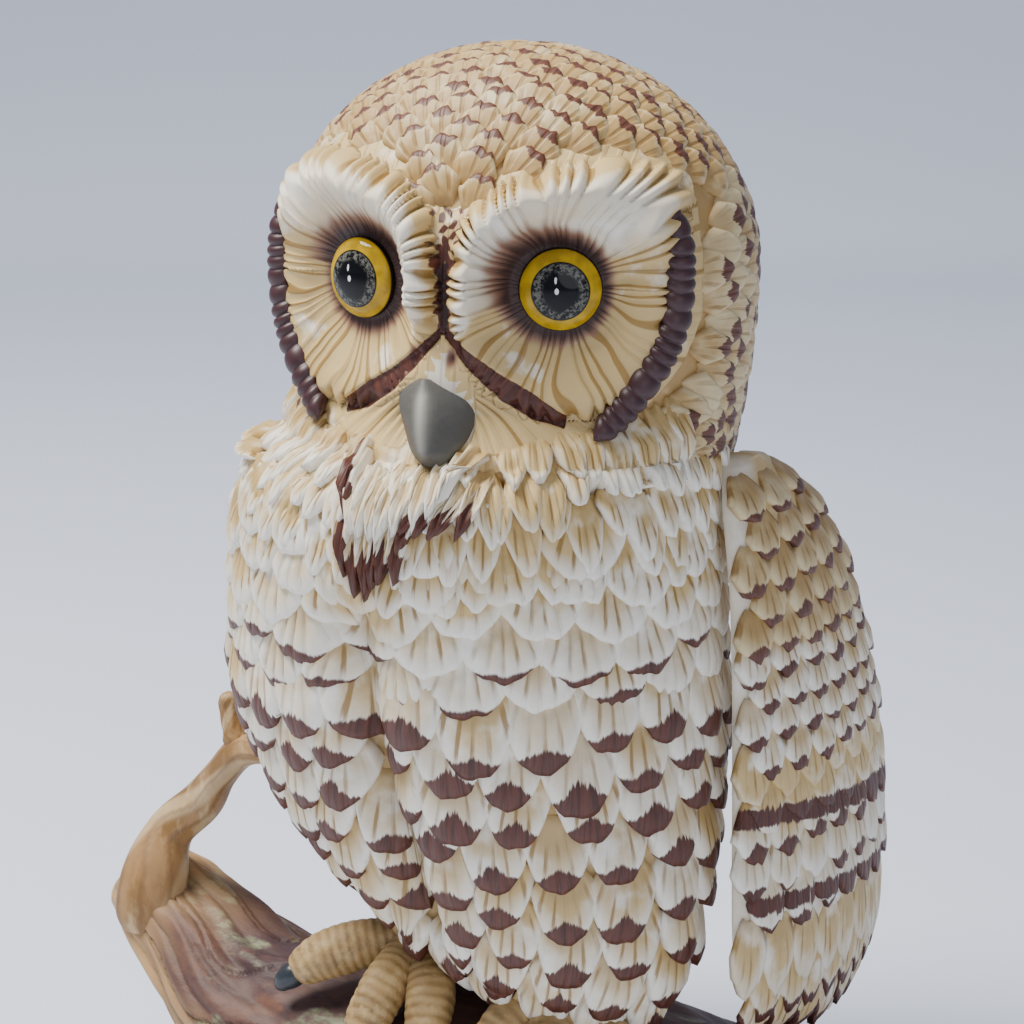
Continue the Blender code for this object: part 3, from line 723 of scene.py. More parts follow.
def disc_place(x, z, side):
    """Places on a disc: share of its radius, distance from the eye, angle, barb phase, and strand.

    The strand is 1 along the middle of a barb and 0 in the groove beside it.
    """
    dx, dz = side * x - EYE_X, z - EYE_Z
    distance = np.hypot(dx, dz)
    angle = np.degrees(np.arctan2(dz, dx)) % 360
    edge = fair(DISC_EDGE, angle)[0]
    sway = 0.35 * np.sin(angle * 0.21 + side) + 0.25 * np.sin(distance * 0.35 + angle * 0.1)
    phase = angle / 360 * BARBS + sway
    strand = np.abs(np.cos(np.pi * phase))
    share = distance / (edge * (1 + 0.09 * (strand - 0.6)))
    return share, distance, angle, phase, strand


def face_height(x, z):
    """How far the modelled face stands off the egg, and the masks its paint needs."""
    total = np.full_like(x, -0.3)
    masks = dict(brown=np.zeros_like(x), ochre=np.zeros_like(x), dark=np.zeros_like(x),
                 phase=x * 0.4, stroke=np.full_like(x, 0.35), painted_shade=np.zeros_like(x))
    muzzle = 4.0 * np.exp(-(((x + 1.5) / 9.5) ** 2) - ((z + 18) / 8.5) ** 2)
    muzzle = muzzle + 1.2 * np.exp(-(((np.abs(x) - 13) / 8) ** 2) - ((z + 24) / 5) ** 2)
    beak_angle = np.arctan2(z + 16, np.abs(x))
    whisk = np.abs(np.cos(beak_angle * 22 + np.abs(x) * 0.25))
    whisker_zone = smooth_step(5, 8, np.abs(x)) * (1 - smooth_step(-15, -10, z)) * smooth_step(-31, -27, z)
    total = total + muzzle + 0.65 * (whisk - 0.5) * whisker_zone
    masks["stroke"] = np.where(whisker_zone > 0.3, 1.5, masks["stroke"])
    whisker_phase = beak_angle * 22 / np.pi + np.abs(x) * 0.08 + 0.5
    masks["phase"] = np.where(whisker_zone > 0.3, whisker_phase, masks["phase"])
    masks["ochre"] = np.maximum(masks["ochre"], 0.95 * (1 - smooth_step(-30, -25, z)))
    masks["ochre"] = np.maximum(masks["ochre"], 0.45 * smooth_step(10, 16, z))
    inside = np.zeros_like(x)
    for side in (-1, 1):
        share, distance, angle, phase, strand = disc_place(x, z, side)
        brow = smooth_step(8, 40, angle) * (1 - smooth_step(188, 215, angle))
        crest = 1.9 + 2.9 * brow
        crest_at = 0.90 - 0.15 * brow
        radius = distance / np.clip(share, 0.05, None)
        rise = np.clip((distance - SOCKET_EDGE) / np.clip(crest_at * radius - SOCKET_EDGE, 1, None), 0, 1)
        dish = -SOCKET_DEPTH + (crest + SOCKET_DEPTH) * (0.62 * smooth_step(0, 1, rise) + 0.38 * rise)
        fall = np.clip((share - crest_at) / (1.0 - crest_at), 0, 1)
        profile = np.where(rise < 1, dish, crest - (crest + 0.1) * fall**2.2)
        barbs = (strand**0.7 - 0.62) * smooth_step(0.42, 0.62, share) * (0.55 + 0.35 * brow)
        here = share < 1.0
        lifted = np.where(here, profile + barbs * (1 - 0.3 * fall), -9)
        total = np.where(here, np.maximum(lifted, np.where(share > 0.93, total, -9)), total)
        inside = np.maximum(inside, here * 1.0)
        # painted shade round the eye: brown, darkest at the bead, reaching furthest under the brow, and further
        # on the outer side of the right eye
        shade = np.interp(angle, *np.transpose(SHADE_REACH))
        shade = shade + (side < 0) * 3.0 * np.exp(-(((angle - 10) % 360) / 60.0) ** 2)
        ragged = distance + 0.9 * (strand - 0.5)
        near = 1 - smooth_step(SOCKET_EDGE + 0.1 * shade, SOCKET_EDGE + 1.7 * shade, ragged)
        masks["painted_shade"] = np.where(here, near, masks["painted_shade"])
        masks["brown"] = np.where(here, 0, masks["brown"])
        masks["dark"] = np.where(here, 0, masks["dark"])
        masks["phase"] = np.where(here, phase + 0.5, masks["phase"])
        on_brow = brow * (1 - smooth_step(0.80, 0.95, share))
        masks["stroke"] = np.where(here, 1.7 - 1.35 * on_brow, masks["stroke"])
        low_wash = smooth_step(200, 250, angle) * smooth_step(0.5, 0.9, share) * 0.6
        gold = np.maximum(low_wash, 0.28 * (1 - smooth_step(0.5, 0.8, share)))
        masks["ochre"] = np.where(here, gold, masks["ochre"])
        rim_line = (share >= 1.0) & (share < 1.14)
        masks["ochre"] = np.where(rim_line & (inside < 1), 0.9, masks["ochre"])
    for side in (-1, 1):
        across = side * x
        down = np.interp(across, SEAM[:, 0], SEAM[:, 1])
        thick = np.interp(across, SEAM[:, 0], SEAM[:, 2], left=0, right=0)
        band = 1 - smooth_step(0.75, 1.15, np.abs(z - down) / np.clip(thick, 0.05, None))
        band = band * (across > 0)
        masks["brown"] = np.maximum(masks["brown"], band)
        masks["dark"] = np.maximum(masks["dark"], band * 0.4)
        total = total - 0.9 * band
        # painted shade in each nostril pit, which is also sunk 0.9 mm
        nostril = np.exp(-(((x + 1.8 - side * 3.7) / 1.0) ** 2 + ((z + 12.6) / 2.0) ** 2) * 1.2)
        masks["painted_shade"] = np.maximum(masks["painted_shade"], nostril)
        total = total - 0.9 * nostril
    outside = (inside < 1) & (np.abs(x) > 30) & (z > -24)
    fringe = np.arctan2(z - EYE_Z, np.abs(x) - 8) * 26
    total = total + np.where(outside, 0.6 * (np.abs(np.cos(fringe)) - 0.5), 0)
    masks["phase"] = np.where(outside, fringe / np.pi + 0.5, masks["phase"])
    masks["stroke"] = np.where(outside, 1.0, masks["stroke"])
    masks["ochre"] = np.where(outside, 0.15, masks["ochre"])
    bridge = np.exp(-((x / (1.3 + 0.30 * np.clip(z, 0, 20))) ** 2))
    bridge = bridge * smooth_step(-10, -6, z) * (1 - smooth_step(15, 20, z))
    mottle = 0.5 + 0.5 * np.sin(x * 2.3 + 2.0 * np.sin(z * 0.9)) * np.sin(z * 1.7 + np.sin(x * 1.4))
    fade = 1 - smooth_step(2, 9, z)
    masks["brown"] = np.maximum(masks["brown"], bridge * (0.95 * mottle + fade * 0.6))
    masks["dark"] = np.maximum(masks["dark"], bridge * fade * 0.75)
    return total, masks


# %% [markdown]
# The face could be sculpted by displacement, but its rim has to be trimmed to a clean outline. So the
# relief is worked out on a grid that already has that outline, between two fair curves.

# %% Face mask
FACE_TOP = (
    (-42, 4), (-40, 14), (-36, 21.5), (-30, 24.5), (-20, 25), (-12, 23), (-6, 18), (0, 14),
    (6, 18), (12, 23), (20, 25), (30, 24.5), (36, 21.5), (40, 14), (42, 4),
)
FACE_LOW = (
    (-42, -6), (-40, -13), (-36, -20), (-30, -26), (-22, -30), (-10, -33), (0, -34),
    (10, -33), (22, -30), (30, -26), (36, -20), (40, -13), (42, -6),
)
FACE_SIDE = 42
FACE_COLUMNS, FACE_LEVELS = 271, 213


def egg_point(x, z):
    """A place on the front of the head's egg and the direction that relief is raised in."""
    rise, flare = head_profile(z)
    y = -(HEAD_FRONT + flare) * np.sqrt(np.clip(1 - (x / HEAD_HALF_WIDTH) ** 2 - rise**2, 0.02, 1))
    up = 0.6 * np.clip(z, 0, 99) / HEAD_CROWN**2
    return np.stack([x, y, z], -1), unit(np.stack([0.75 * x / HEAD_HALF_WIDTH**2, y / HEAD_FRONT**2, up], -1))


x = np.linspace(-FACE_SIDE, FACE_SIDE, FACE_COLUMNS)[None, :] + np.zeros((FACE_LEVELS, 1))
top, low = fair(FACE_TOP, x[0])[0], fair(FACE_LOW, x[0])[0]
z = top + (low - top) * np.linspace(0, 1, FACE_LEVELS)[:, None]
relief, paint_masks = face_height(x, z)
edge = np.minimum.reduce([FACE_SIDE - np.abs(x), (z - low) * 0.8, (top - z) * 0.8])
relief = (relief - 1.1 * (1 - smooth_step(0, 2.2, edge)))[..., None]
egg, out = egg_point(x, z)
sunk = relief * np.array([0, -1.0, 0])
flat = head_world(egg + np.where(relief < 0, sunk, relief * out)).reshape(-1, 3)
rim = grid_rim(FACE_LEVELS, FACE_COLUMNS)
skirt = HEAD_CENTRE + (flat[rim] - HEAD_CENTRE) * 0.93
points = np.vstack([flat, skirt, HEAD_CENTRE + np.array([0, -12.0, 0])])
around = np.arange(len(rim))
nxt = (around + 1) % len(rim)
wall = np.column_stack([rim, rim[nxt], len(flat) + nxt, len(flat) + around])
quads = np.vstack([grid_faces(FACE_LEVELS, FACE_COLUMNS)[:, ::-1], wall])
fan = np.column_stack([len(flat) + around, len(flat) + nxt, np.full(len(rim), len(points) - 1)])


def to_skirt(values):
    """Values over the face, again for its skirt, and once for the point behind it."""
    values = (values + 0 * x).ravel()
    return np.concatenate([values, values[rim], values[:1]])


face_mask = skin(
    "face_mask", points, quads[:, ::-1], white_bisque,
    {
        "plume": np.column_stack([to_skirt(paint_masks["phase"] * 0.4), to_skirt(0.62), to_skirt(0.2)]),
        "tint": np.column_stack([to_skirt(0.0), to_skirt(paint_masks["stroke"]), to_skirt(5.0)]),
        "extra": np.column_stack([to_skirt(paint_masks[k]) for k in ("brown", "ochre", "dark")]),
        # painted shade round the eyes and in the nostrils
        "painted_shade": to_skirt(paint_masks["painted_shade"]),
    },
    fan[:, ::-1],
)

# %% [markdown]
# ## Head feathers
# Short feathers run back from the brows over the crown and down the nape. They sit on a spiral of
# equal steps, which keeps them evenly spaced all over the egg without rows.

# %% Head casting and its feathers
LOWEST_RING = 148.5
CASTING_SHRINK = np.array([0.962, 0.962, 0.965])
EYE_ROOM, EYE_ROOM_EDGE, EYE_ROOM_DEPTH = 14, 19, 9.5
to_the_top = HEAD_CENTRE[2] + HEAD_CROWN * np.sin(np.linspace(np.radians(62), np.radians(89.5), 12))
levels = np.sort(np.concatenate([np.linspace(149.6, 222, 40), to_the_top]))
levels[0] = LOWEST_RING
height = (levels - HEAD_CENTRE[2])[:, None]
turn = full_turn(96)[None]
rise, flare = head_profile(height)
squeeze = np.sqrt(np.clip(1 - rise**2, 1e-4, 1))
reach = np.where(np.cos(turn) > 0, HEAD_FRONT + flare, HEAD_BACK) * squeeze
local = np.stack([HEAD_HALF_WIDTH * squeeze * np.sin(turn), -reach * np.cos(turn), height + 0 * turn], -1)
from_eye = np.hypot(np.abs(local[..., 0]) - EYE_X - 1.0, local[..., 2] - EYE_Z)
local[..., 1] += EYE_ROOM_DEPTH * (1 - smooth_step(EYE_ROOM, EYE_ROOM_EDGE, from_eye)) * (local[..., 1] < 0)
local = local * CASTING_SHRINK
head_casting = closed_rings("head_casting", head_world(local), tan_bisque, plain_paint(local.shape[:2], 0.9))
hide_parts("head")


def in_face(p, margin=0.0):
    """True where a place in the head's own frame lies inside the outline of the face."""
    x, y, z = np.moveaxis(p, -1, 0)
    between = (z < fair(FACE_TOP, x)[0] + margin) & (z > fair(FACE_LOW, x)[0] - margin)
    return (y < 0) & (np.abs(x) < FACE_SIDE - 1 + margin) & between


def spiral(count):
    """Evenly spaced directions: equal steps in height and a golden angle in turn."""
    k = np.arange(count) + 0.5
    height = 1 - 2 * k / count
    turn = k * np.pi * (3 - np.sqrt(5))
    flat = np.sqrt(1 - height**2)
    return np.column_stack([flat * np.cos(turn), flat * np.sin(turn), height])


def lie_on_head(p):
    """Back over the crown, back along the cheeks, and down the nape."""
    back = smooth_step(-8, 34, p[..., 1])
    fall = 1.5 * back + 0.25 * smooth_step(5, -20, p[..., 2])
    lie = np.stack([0.25 * p[..., 0] / 46, 1 - 0.2 * back, -fall], -1)
    return lie + rng.uniform(-0.12, 0.12, lie.shape)


def stipple(spots, u, v):
    """Extra ochre towards the root of each crown feather."""
    none = 0 * v * u
    return none, 0.25 + 0.35 * (1 - v) + none, none


seats, _ = on_head(HEAD_CENTRE + spiral(860) * 40)
place = head_local(seats)
beside, depth, height = np.abs(place[:, 0]), place[:, 1], place[:, 2]
forehead = (beside < 5.5) & (height > 10) & (depth < 0)
crown = (height > 6) & (~in_face(place, -3.5) | forehead) & ((height > 16) | (beside < 28) | (depth > 5))
nape = ~crown & (height > -37) & ~in_face(place, -1.5) & (depth > -31)
count = int(crown.sum())
front = smooth_step(12, -25, depth[crown])
crown_feathers = feathers(
    "crown_feathers", on_head, seats[crown], head_turned(lie_on_head(place[crown])), 9.0,
    rng.uniform(4.2, 5.0, count), tan_bisque, grid=(11, 6), lift=1.35, dome=0.6, round=0.42, widen=0.55,
    strokes=3,
    mark=np.where(rng.random(count) < 0.6 + 0.4 * front, rng.uniform(0.15, 0.34, count), 0.0),
    wash=0.9 + 0.4 * front, ragged=1.6, extra=stipple,
)
count = int(nape.sum())
side_feathers = feathers(
    "nape_feathers", on_head, seats[nape], head_turned(lie_on_head(place[nape])), 12.0,
    rng.uniform(3.6, 4.6, count), tan_bisque, grid=(9, 6), lift=1.5, dome=0.8, round=0.6, widen=0.5, strokes=3,
    mark=np.where(rng.random(count) < 0.7, rng.uniform(0.25, 0.45, count), 0.0),
    wash=rng.uniform(0.3, 0.9, count), ragged=1.6,
)

# %% [markdown]
# ## Collar and beard
# Long narrow feathers hang under the face, over the seam between the head and the body. A tuft in the
# middle hangs lowest and has brown tips.

# %% Collar feathers


def collar_ratio(q):
    share = smooth_step(138, 156, q[..., 2])
    ahead = smooth_step(5, -40, q[..., 1])
    swell = 1 + (0.02 + 0.03 * ahead) * np.exp(-(((q[..., 2] - 149.0) / 8.0) ** 2))
    return (share * head_ratio(q) + (1 - share) * body_ratio(q)) / swell


def collar_axis(q):
    share = smooth_step(138, 156, q[..., 2])[..., None]
    return share * head_axis(q) + (1 - share) * body_axis(q)


def on_collar(q):
    return onto(collar_ratio, collar_axis, q, 4)


def collar_row(height, spacing, low, high, offset=0.0):
    """Seats round the neck, between two angles from the middle of the face, positive to the left."""
    turn = np.radians(np.arange(low + offset * spacing / 0.84, high, spacing / 0.84))
    return np.column_stack([4 + 40 * np.sin(turn), -6 - 40 * np.cos(turn), np.full(len(turn), height)]), turn


# each row: height, spacing, first and last angle, length, half width, lift, rise at the sides
COLLAR_ROWS = np.array([
    (156.0, 5.4, -70, 74, 14.0, 3.0, 2.2, 9.0), (151.5, 5.6, -95, 100, 13.5, 3.3, 2.2, 7.5),
    (146.5, 6.2, -120, 120, 13.5, 3.8, 2.0, 4.5), (141.5, 7.0, -120, 120, 13.0, 4.6, 1.9, 2.0),
])
made = [collar_row(*row[:4], 0.5 * (k % 2)) for k, row in enumerate(COLLAR_ROWS)]
seats = np.vstack([m[0] for m in made])
turns = np.concatenate([m[1] for m in made])
level = np.concatenate([np.full(len(m[1]), k) for k, m in enumerate(made)])
length, half, lift, rise = COLLAR_ROWS[level, 4:].T
seats[:, 2] += jitter(len(seats), 2.0) + rise * smooth_step(0.2, 1.0, np.abs(turns))
length = length * rng.uniform(0.85, 1.15, len(seats))
sideways = 0.55 * np.sin(turns) + jitter(len(seats), 0.18)
lie = np.column_stack([sideways, -0.3 * np.cos(turns), np.full(len(seats), -1.0)])
collar = feathers(
    "collar_feathers", on_collar, seats, lie, length, half, white_bisque,
    grid=(13, 8), lift=lift, dome=1.6, round=0.62, widen=0.42, grooves=2, cut=0.6,
    wash=rng.uniform(0.9, 1.4, len(seats)), ragged=0.5, depth=2.5,
)
nape_seats, turns = collar_row(155.0, 9.0, 98, 262)
nape = feathers(
    "nape_collar", on_collar, nape_seats, hang(nape_seats), 15.0, 7.0, tan_bisque, grid=(9, 6), lift=2.0,
    dome=0.8, round=0.5, widen=0.55, strokes=4, mark=rng.uniform(0.12, 0.26, len(turns)), wash=0.8,
)
# each row: place across, height of the root, length
fringe = np.array([
    (-8.0, 158.0, 17.0), (-6.5, 156.0, 17.0), (-4.8, 149.5, 17.0), (-2.6, 147.0, 17.0), (-0.4, 146.3, 16.0),
    (1.8, 147.0, 16.0), (4.0, 148.0, 16.0), (6.2, 149.0, 16.0), (8.6, 150.0, 15.5), (11.0, 151.0, 15.0),
    (13.5, 151.5, 15.0), (16.0, 151.5, 14.5), (18.5, 152.0, 14.0), (20.5, 153.5, 13.5),
])
over = np.array([
    (-3.0, 154.0, 14.0), (-0.6, 153.0, 14.0), (2.0, 153.0, 13.5), (4.6, 153.5, 13.5), (7.4, 154.0, 13.0),
    (10.4, 155.0, 12.5), (13.6, 155.5, 12.0), (17.0, 156.0, 12.0), (20.0, 157.0, 12.0),
])
strands = np.vstack([fringe, over])
marked = np.arange(len(strands)) < len(fringe)
seats = np.column_stack([strands[:, 0], np.full(len(strands), -50.0), strands[:, 1]])
lie = np.zeros((len(strands), 3)) - (0, 0, 1)
lie[:, 0] = (1.0 - strands[:, 0]) * 0.02 + jitter(len(strands), 0.06)
length = strands[:, 2] * rng.uniform(0.95, 1.08, len(strands))
beard = feathers(
    "beard_feathers", on_collar, seats, lie, length, 2.1, white_bisque,
    grid=(9, 9), lift=np.where(marked, 4.7, 5.0), dome=1.2, round=0.85, widen=0.4,
    mark=np.where(marked, np.where(strands[:, 0] < -4, 1.1, 0.6), 0.0), wash=0.8,
    grooves=2, cut=0.25, depth=1.6,
)

# %% [markdown]
# ## Wings
# A wing is a slab moulded apart and luted to the flank. Its front edge is left as a smooth white
# rounded strip. Behind it come scallops at the shoulder, then coverts, then long flight feathers
# with two brown bands painted straight across them.

# %% Wing sections
LEFT_WING = (
    (149.0, -3.0, 11.0, 51.5, 53.0, 51.5), (142.0, -9.0, 22.0, 54.0, 57.5, 54.5),
    (130.0, -11.0, 34.0, 56.0, 61.5, 58.0),
    (112.0, -11.0, 42.0, 57.0, 64.5, 61.5), (90.0, -11.0, 48.0, 57.5, 66.5, 64.0),
    (60.0, -11.0, 51.0, 58.0, 67.5, 65.5),
    (46.0, -8.0, 49.0, 58.5, 67.0, 65.5), (35.0, 2.0, 43.0, 59.5, 65.5, 64.5),
    (29.0, 17.0, 31.0, 61.5, 63.6, 63.4),
)
RIGHT_WING = (
    (151.0, 0.0, 12.0, 47.5, 48.5, 46.5), (143.0, -3.0, 22.0, 50.0, 51.5, 48.0),
    (130.0, -1.0, 31.0, 51.5, 53.0, 47.0),
    (112.0, 3.0, 39.0, 52.0, 53.0, 45.0), (90.0, 9.0, 46.0, 50.0, 51.0, 41.0),
    (62.0, 20.0, 51.0, 45.0, 45.5, 34.5),
    (48.0, 29.0, 51.5, 40.0, 39.5, 32.0), (39.0, 37.0, 50.0, 34.5, 34.0, 30.5),
    (35.0, 42.0, 47.5, 31.5, 31.5, 30.3),
)


def wing_surface(stations, side):
    def ratio(q):
        front, rear, xf, xm, xr = fair(stations, q[..., 2])
        t = np.clip((q[..., 1] - front) / (rear - front), -0.3, 1.3)
        outer = xf * (1 - t) * (1 - 2 * t) + 4 * xm * t * (1 - t) + xr * t * (2 * t - 1)
        return side * q[..., 0] / outer

    def axis(q):
        return q * np.array([0, 1, 1])

    return lambda q: onto(ratio, axis, q, 1)


def make_wing(stations, side, name):
    """A slab whose section is a long rounded oval, under three tracts of feathers."""
    on_wing = wing_surface(stations, side)
    top, bottom = stations[0][0], stations[-1][0]
    lift_off = 0.5 - 0.5 * np.cos(np.linspace(0, np.pi, 180))
    heights = top + 0.6 + (bottom - top - 1.0) * lift_off
    front, rear, xf, xm, xr = fair(stations, heights)[..., None]
    a = full_turn(72)[None]
    t = 0.5 - 0.5 * np.sign(np.cos(a)) * np.abs(np.cos(a)) ** 0.85
    outer = xf * (1 - t) * (1 - 2 * t) + 4 * xm * t * (1 - t) + xr * t * (2 * t - 1)
    thick = 4.6 + (3.0 - 4.6) * t
    swell = np.abs(np.sin(a)) ** 0.5
    x = side * (outer - thick / 2 + np.sign(np.sin(a)) * swell * thick / 2)
    # the inner side is only scratched: low scales, each rising 0.6 mm to its edge
    scale = (-heights[:, None] / 9.0 + 0.45 * np.abs(np.cos(np.pi * t * 4.5)) + 0 * a) % 1.0
    x = x - side * 0.6 * scale**2 * smooth_step(-0.1, -0.5, np.sin(a))
    narrow = np.sqrt(np.clip(np.minimum(lift_off, 1 - lift_off)[:, None] / 0.012, 0.02, 1))
    y = front + (rear - front) * t + 0 * a
    middle = (front + rear) / 2
    y = middle + (y - middle) * narrow
    rings = np.stack([x, y, heights[:, None] + 0 * a], -1)
    looks = plain_paint(rings.shape[:2], 0.3)
    behind = smooth_step(2, 8, rings[..., 1] - front)
    looks["extra"][..., 1] = 0.9 * smooth_step(112, 128, rings[..., 2]) * behind
    slab = closed_rings(f"{name}_slab", rings, white_bisque, looks, flip=side < 0)
    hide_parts(name)
    white, tan = white_bisque, tan_bisque
    tracts = (
        # name, rows, spacing, length, half width, lift, mark, wash, material, first margin
        ("scapulars", np.arange(top - 1.0, 119, -6.2), 8.2, 11.0, 5.0, 1.5, (0.14, 0.32), (0.8, 1.0), tan, 1.8),
        ("coverts", np.arange(118, 99, -6.2), 7.6, 11.0, 4.6, 1.4, (0.14, 0.34), (0.6, 1.0), white, 1.2),
        ("greater_coverts", (97.0, 90.5), 7.8, 13.5, 5.0, 0.9, (0.0, 0.0), (0.6, 0.9), white, 1.0),
        ("lower_coverts", (85.0,), 8.6, 13.5, 5.2, 1.3, (0.26, 0.36), (0.5, 0.8), white, 1.0),
        ("primary_coverts", (78.0, 70.0), 8.6, 14.5, 5.2, 0.9, (0.0, 0.30), (0.4, 0.7), white, 1.0),
        ("flights", (61.0, 54.0, 47.0), 7.0, 19.0, 4.9, 0.6, (0.0, 0.0), (0.6, 1.0), white, 1.0),
    )
    for label, rows, spacing, length, half, lift, mark, wash, material, margin in tracts:
        seats = []
        for k, height in enumerate(rows):
            if height < bottom + 7:
                continue
            row_front, row_rear = fair(stations, height - 3)[:2]
            count = max(2, int(round((row_rear - row_front - margin - 2.0) / spacing)))
            at = (np.arange(count) + 0.45 * (k % 2) + 0.05) / count
            y = row_front + margin + at * (row_rear - row_front - margin + 1.0)
            seats.append(np.column_stack([np.full(len(y), side * 60.0), y, np.full(len(y), height)]))
        seats = np.vstack(seats)
        count = len(seats)
        fit = np.clip((seats[:, 2] - bottom) / length, 0.55, 1) * rng.uniform(0.93, 1.07, count)
        front, rear = fair(stations, seats[:, 2])[:2]
        share = (seats[:, 1] - front) / (rear - front)
        lean = np.where(seats[:, 2] < 60, (0.5 - share) * 0.5, 0.04)
        lie = np.column_stack([np.zeros(count), lean + jitter(count, 0.04), -np.ones(count)])

        def bands(spots, u, v):
            y, z = spots[..., 1], spots[..., 2]
            slope = (y + 11) / 60
            first = np.exp(-(((z - 80.7 + 7.3 * slope) / (2.0 + 0.6 * slope)) ** 4))
            second = np.exp(-(((z - 62.2 + 5.3 * slope) / 2.1) ** 4))
            tips = smooth_step(44, 36, z) * smooth_step(0.78, 0.97, v) * 0.9
            brown = np.maximum.reduce([first, second, tips])
            gold = 0.85 * np.exp(-(((z - 88.0 + 6.0 * slope) / 5.5) ** 4)) + 0.45 * (z < 56)
            return brown, gold, 0 * z

        more = {"extra": bands} if label not in ("scapulars", "coverts") else {}
        feathers(
            f"{name}_{label}", on_wing, seats, lie, length * fit, half, material, grid=(11, 7), lift=lift,
            dome=0.6, round=0.42 if label != "flights" else 0.5, widen=0.5, grooves=2, cut=0.15,
            mark=rng.uniform(*mark, count), wash=rng.uniform(*wash, count), ragged=1.0, **more,
        )


make_wing(LEFT_WING, 1, "left_wing")
make_wing(RIGHT_WING, -1, "right_wing")

# %% [markdown]
# ## Tail
# The tail is a curved tile luted under the back. Its feathers are long and lie side by side.

# %% Tail
TAIL_STATIONS = (
    (96.0, 30.0, 12.0), (74.0, 34.5, 19.0), (50.0, 41.0, 23.0), (28.0, 47.5, 22.0), (22.0, 49.0, 15.0),
)


def on_tail(q):
    def ratio(p):
        return p[..., 1] / (fair(TAIL_STATIONS, p[..., 2])[0] - 6 * (p[..., 0] / 24) ** 2)

    return onto(ratio, lambda p: p * np.array([1, 0, 1]), q, 1)


heights = np.linspace(96, 22, 30)
middle, half = fair(TAIL_STATIONS, heights)[..., None]
a = full_turn(48)[None]
across = -np.sign(np.cos(a)) * np.abs(np.cos(a)) ** 0.85 * half
y = middle - 6 * (across / 24) ** 2 - 2.5 + 2.5 * np.sign(np.sin(a)) * np.abs(np.sin(a)) ** 0.5
rings = np.stack([across, y, heights[:, None] + 0 * a], -1)
tail_tile = closed_rings("tail_tile", rings, white_bisque, plain_paint(rings.shape[:2], 0.8), flip=True)
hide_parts("tail")
seats = np.vstack([
    np.column_stack([np.linspace(-0.8, 0.8, n) * fair(TAIL_STATIONS, h)[1], np.full(n, 40.0), np.full(n, h)])
    for h, n in ((90, 4), (78, 5), (66, 6), (54, 7), (42, 7))
])


def tail_bars(spots, u, v):
    z = spots[..., 2] - 2.0 * np.abs(u)
    bars = np.maximum.reduce([np.exp(-(((z - level) / 2.0) ** 4)) for level in (34.0, 49.0, 64.0, 78.0)])
    return bars, 0 * z + 0.3, 0 * z


tail_lie = np.column_stack([seats[:, 0] * 0.008, 0.2 * np.ones(len(seats)), -np.ones(len(seats))])
tail_feathers = feathers(
    "tail_feathers", on_tail, seats, tail_lie, np.clip(seats[:, 2] - 22, 15, 26), 4.2, white_bisque,
    grid=(9, 8), lift=1.3, dome=0.5, round=0.5, widen=0.35, grooves=2, cut=0.1, wash=0.7, extra=tail_bars,
)

# %% [markdown]
# ## Eyes
# A glass-smooth bead of enamel: black in the middle, a ring of grey specks, a fine dark line, a broad
# yellow ring, and dark again at the lid. Two white spots on the pupil are a painted highlight. The rings
# follow the distance from the bead's own axis.

# %% Eye enamel
eye_enamel, tree, shader = start_material(
    "glossy_eye_enamel", 0.09, {"Coat Weight": 0.25, "Specular IOR Level": 0.15, "Coat Roughness": 0.04}
)
ring, glint = attribute(tree, "ring"), attribute(tree, "glint")
where = object_place(tree)
speckle, blotch = noise(tree, where, 1500.0, 4.0, 0.75), noise(tree, where, 330.0, 3.0)
specks = (speckle.ease(0.44, 0.58) * (blotch * 0.30 + ring).ease(0.56, 0.70)).clamped()
enamel = mix(tree, specks, "#060607", "#6A685F")
enamel = mix(tree, ring.ease(0.655, 0.675), enamel, "#14140F")
iris = mix(tree, blotch.ease(0.4, 0.65), "#C29C16", "#A5830E")
enamel = mix(tree, ring.ease(0.69, 0.71), enamel, iris)
enamel = mix(tree, ring.ease(0.955, 0.98), enamel, "#1A1512")
# painted highlight: near-white where the glint spots lie
paint_and_grain(tree, shader, mix(tree, glint.ease(0.35, 0.6), enamel, "#E8E8E6"))
print(eye_enamel.name, len(tree.nodes), "nodes")

# %% [markdown]
# Each eye is a flattened bead, pressed into its socket and turned outwards with the disc round it.

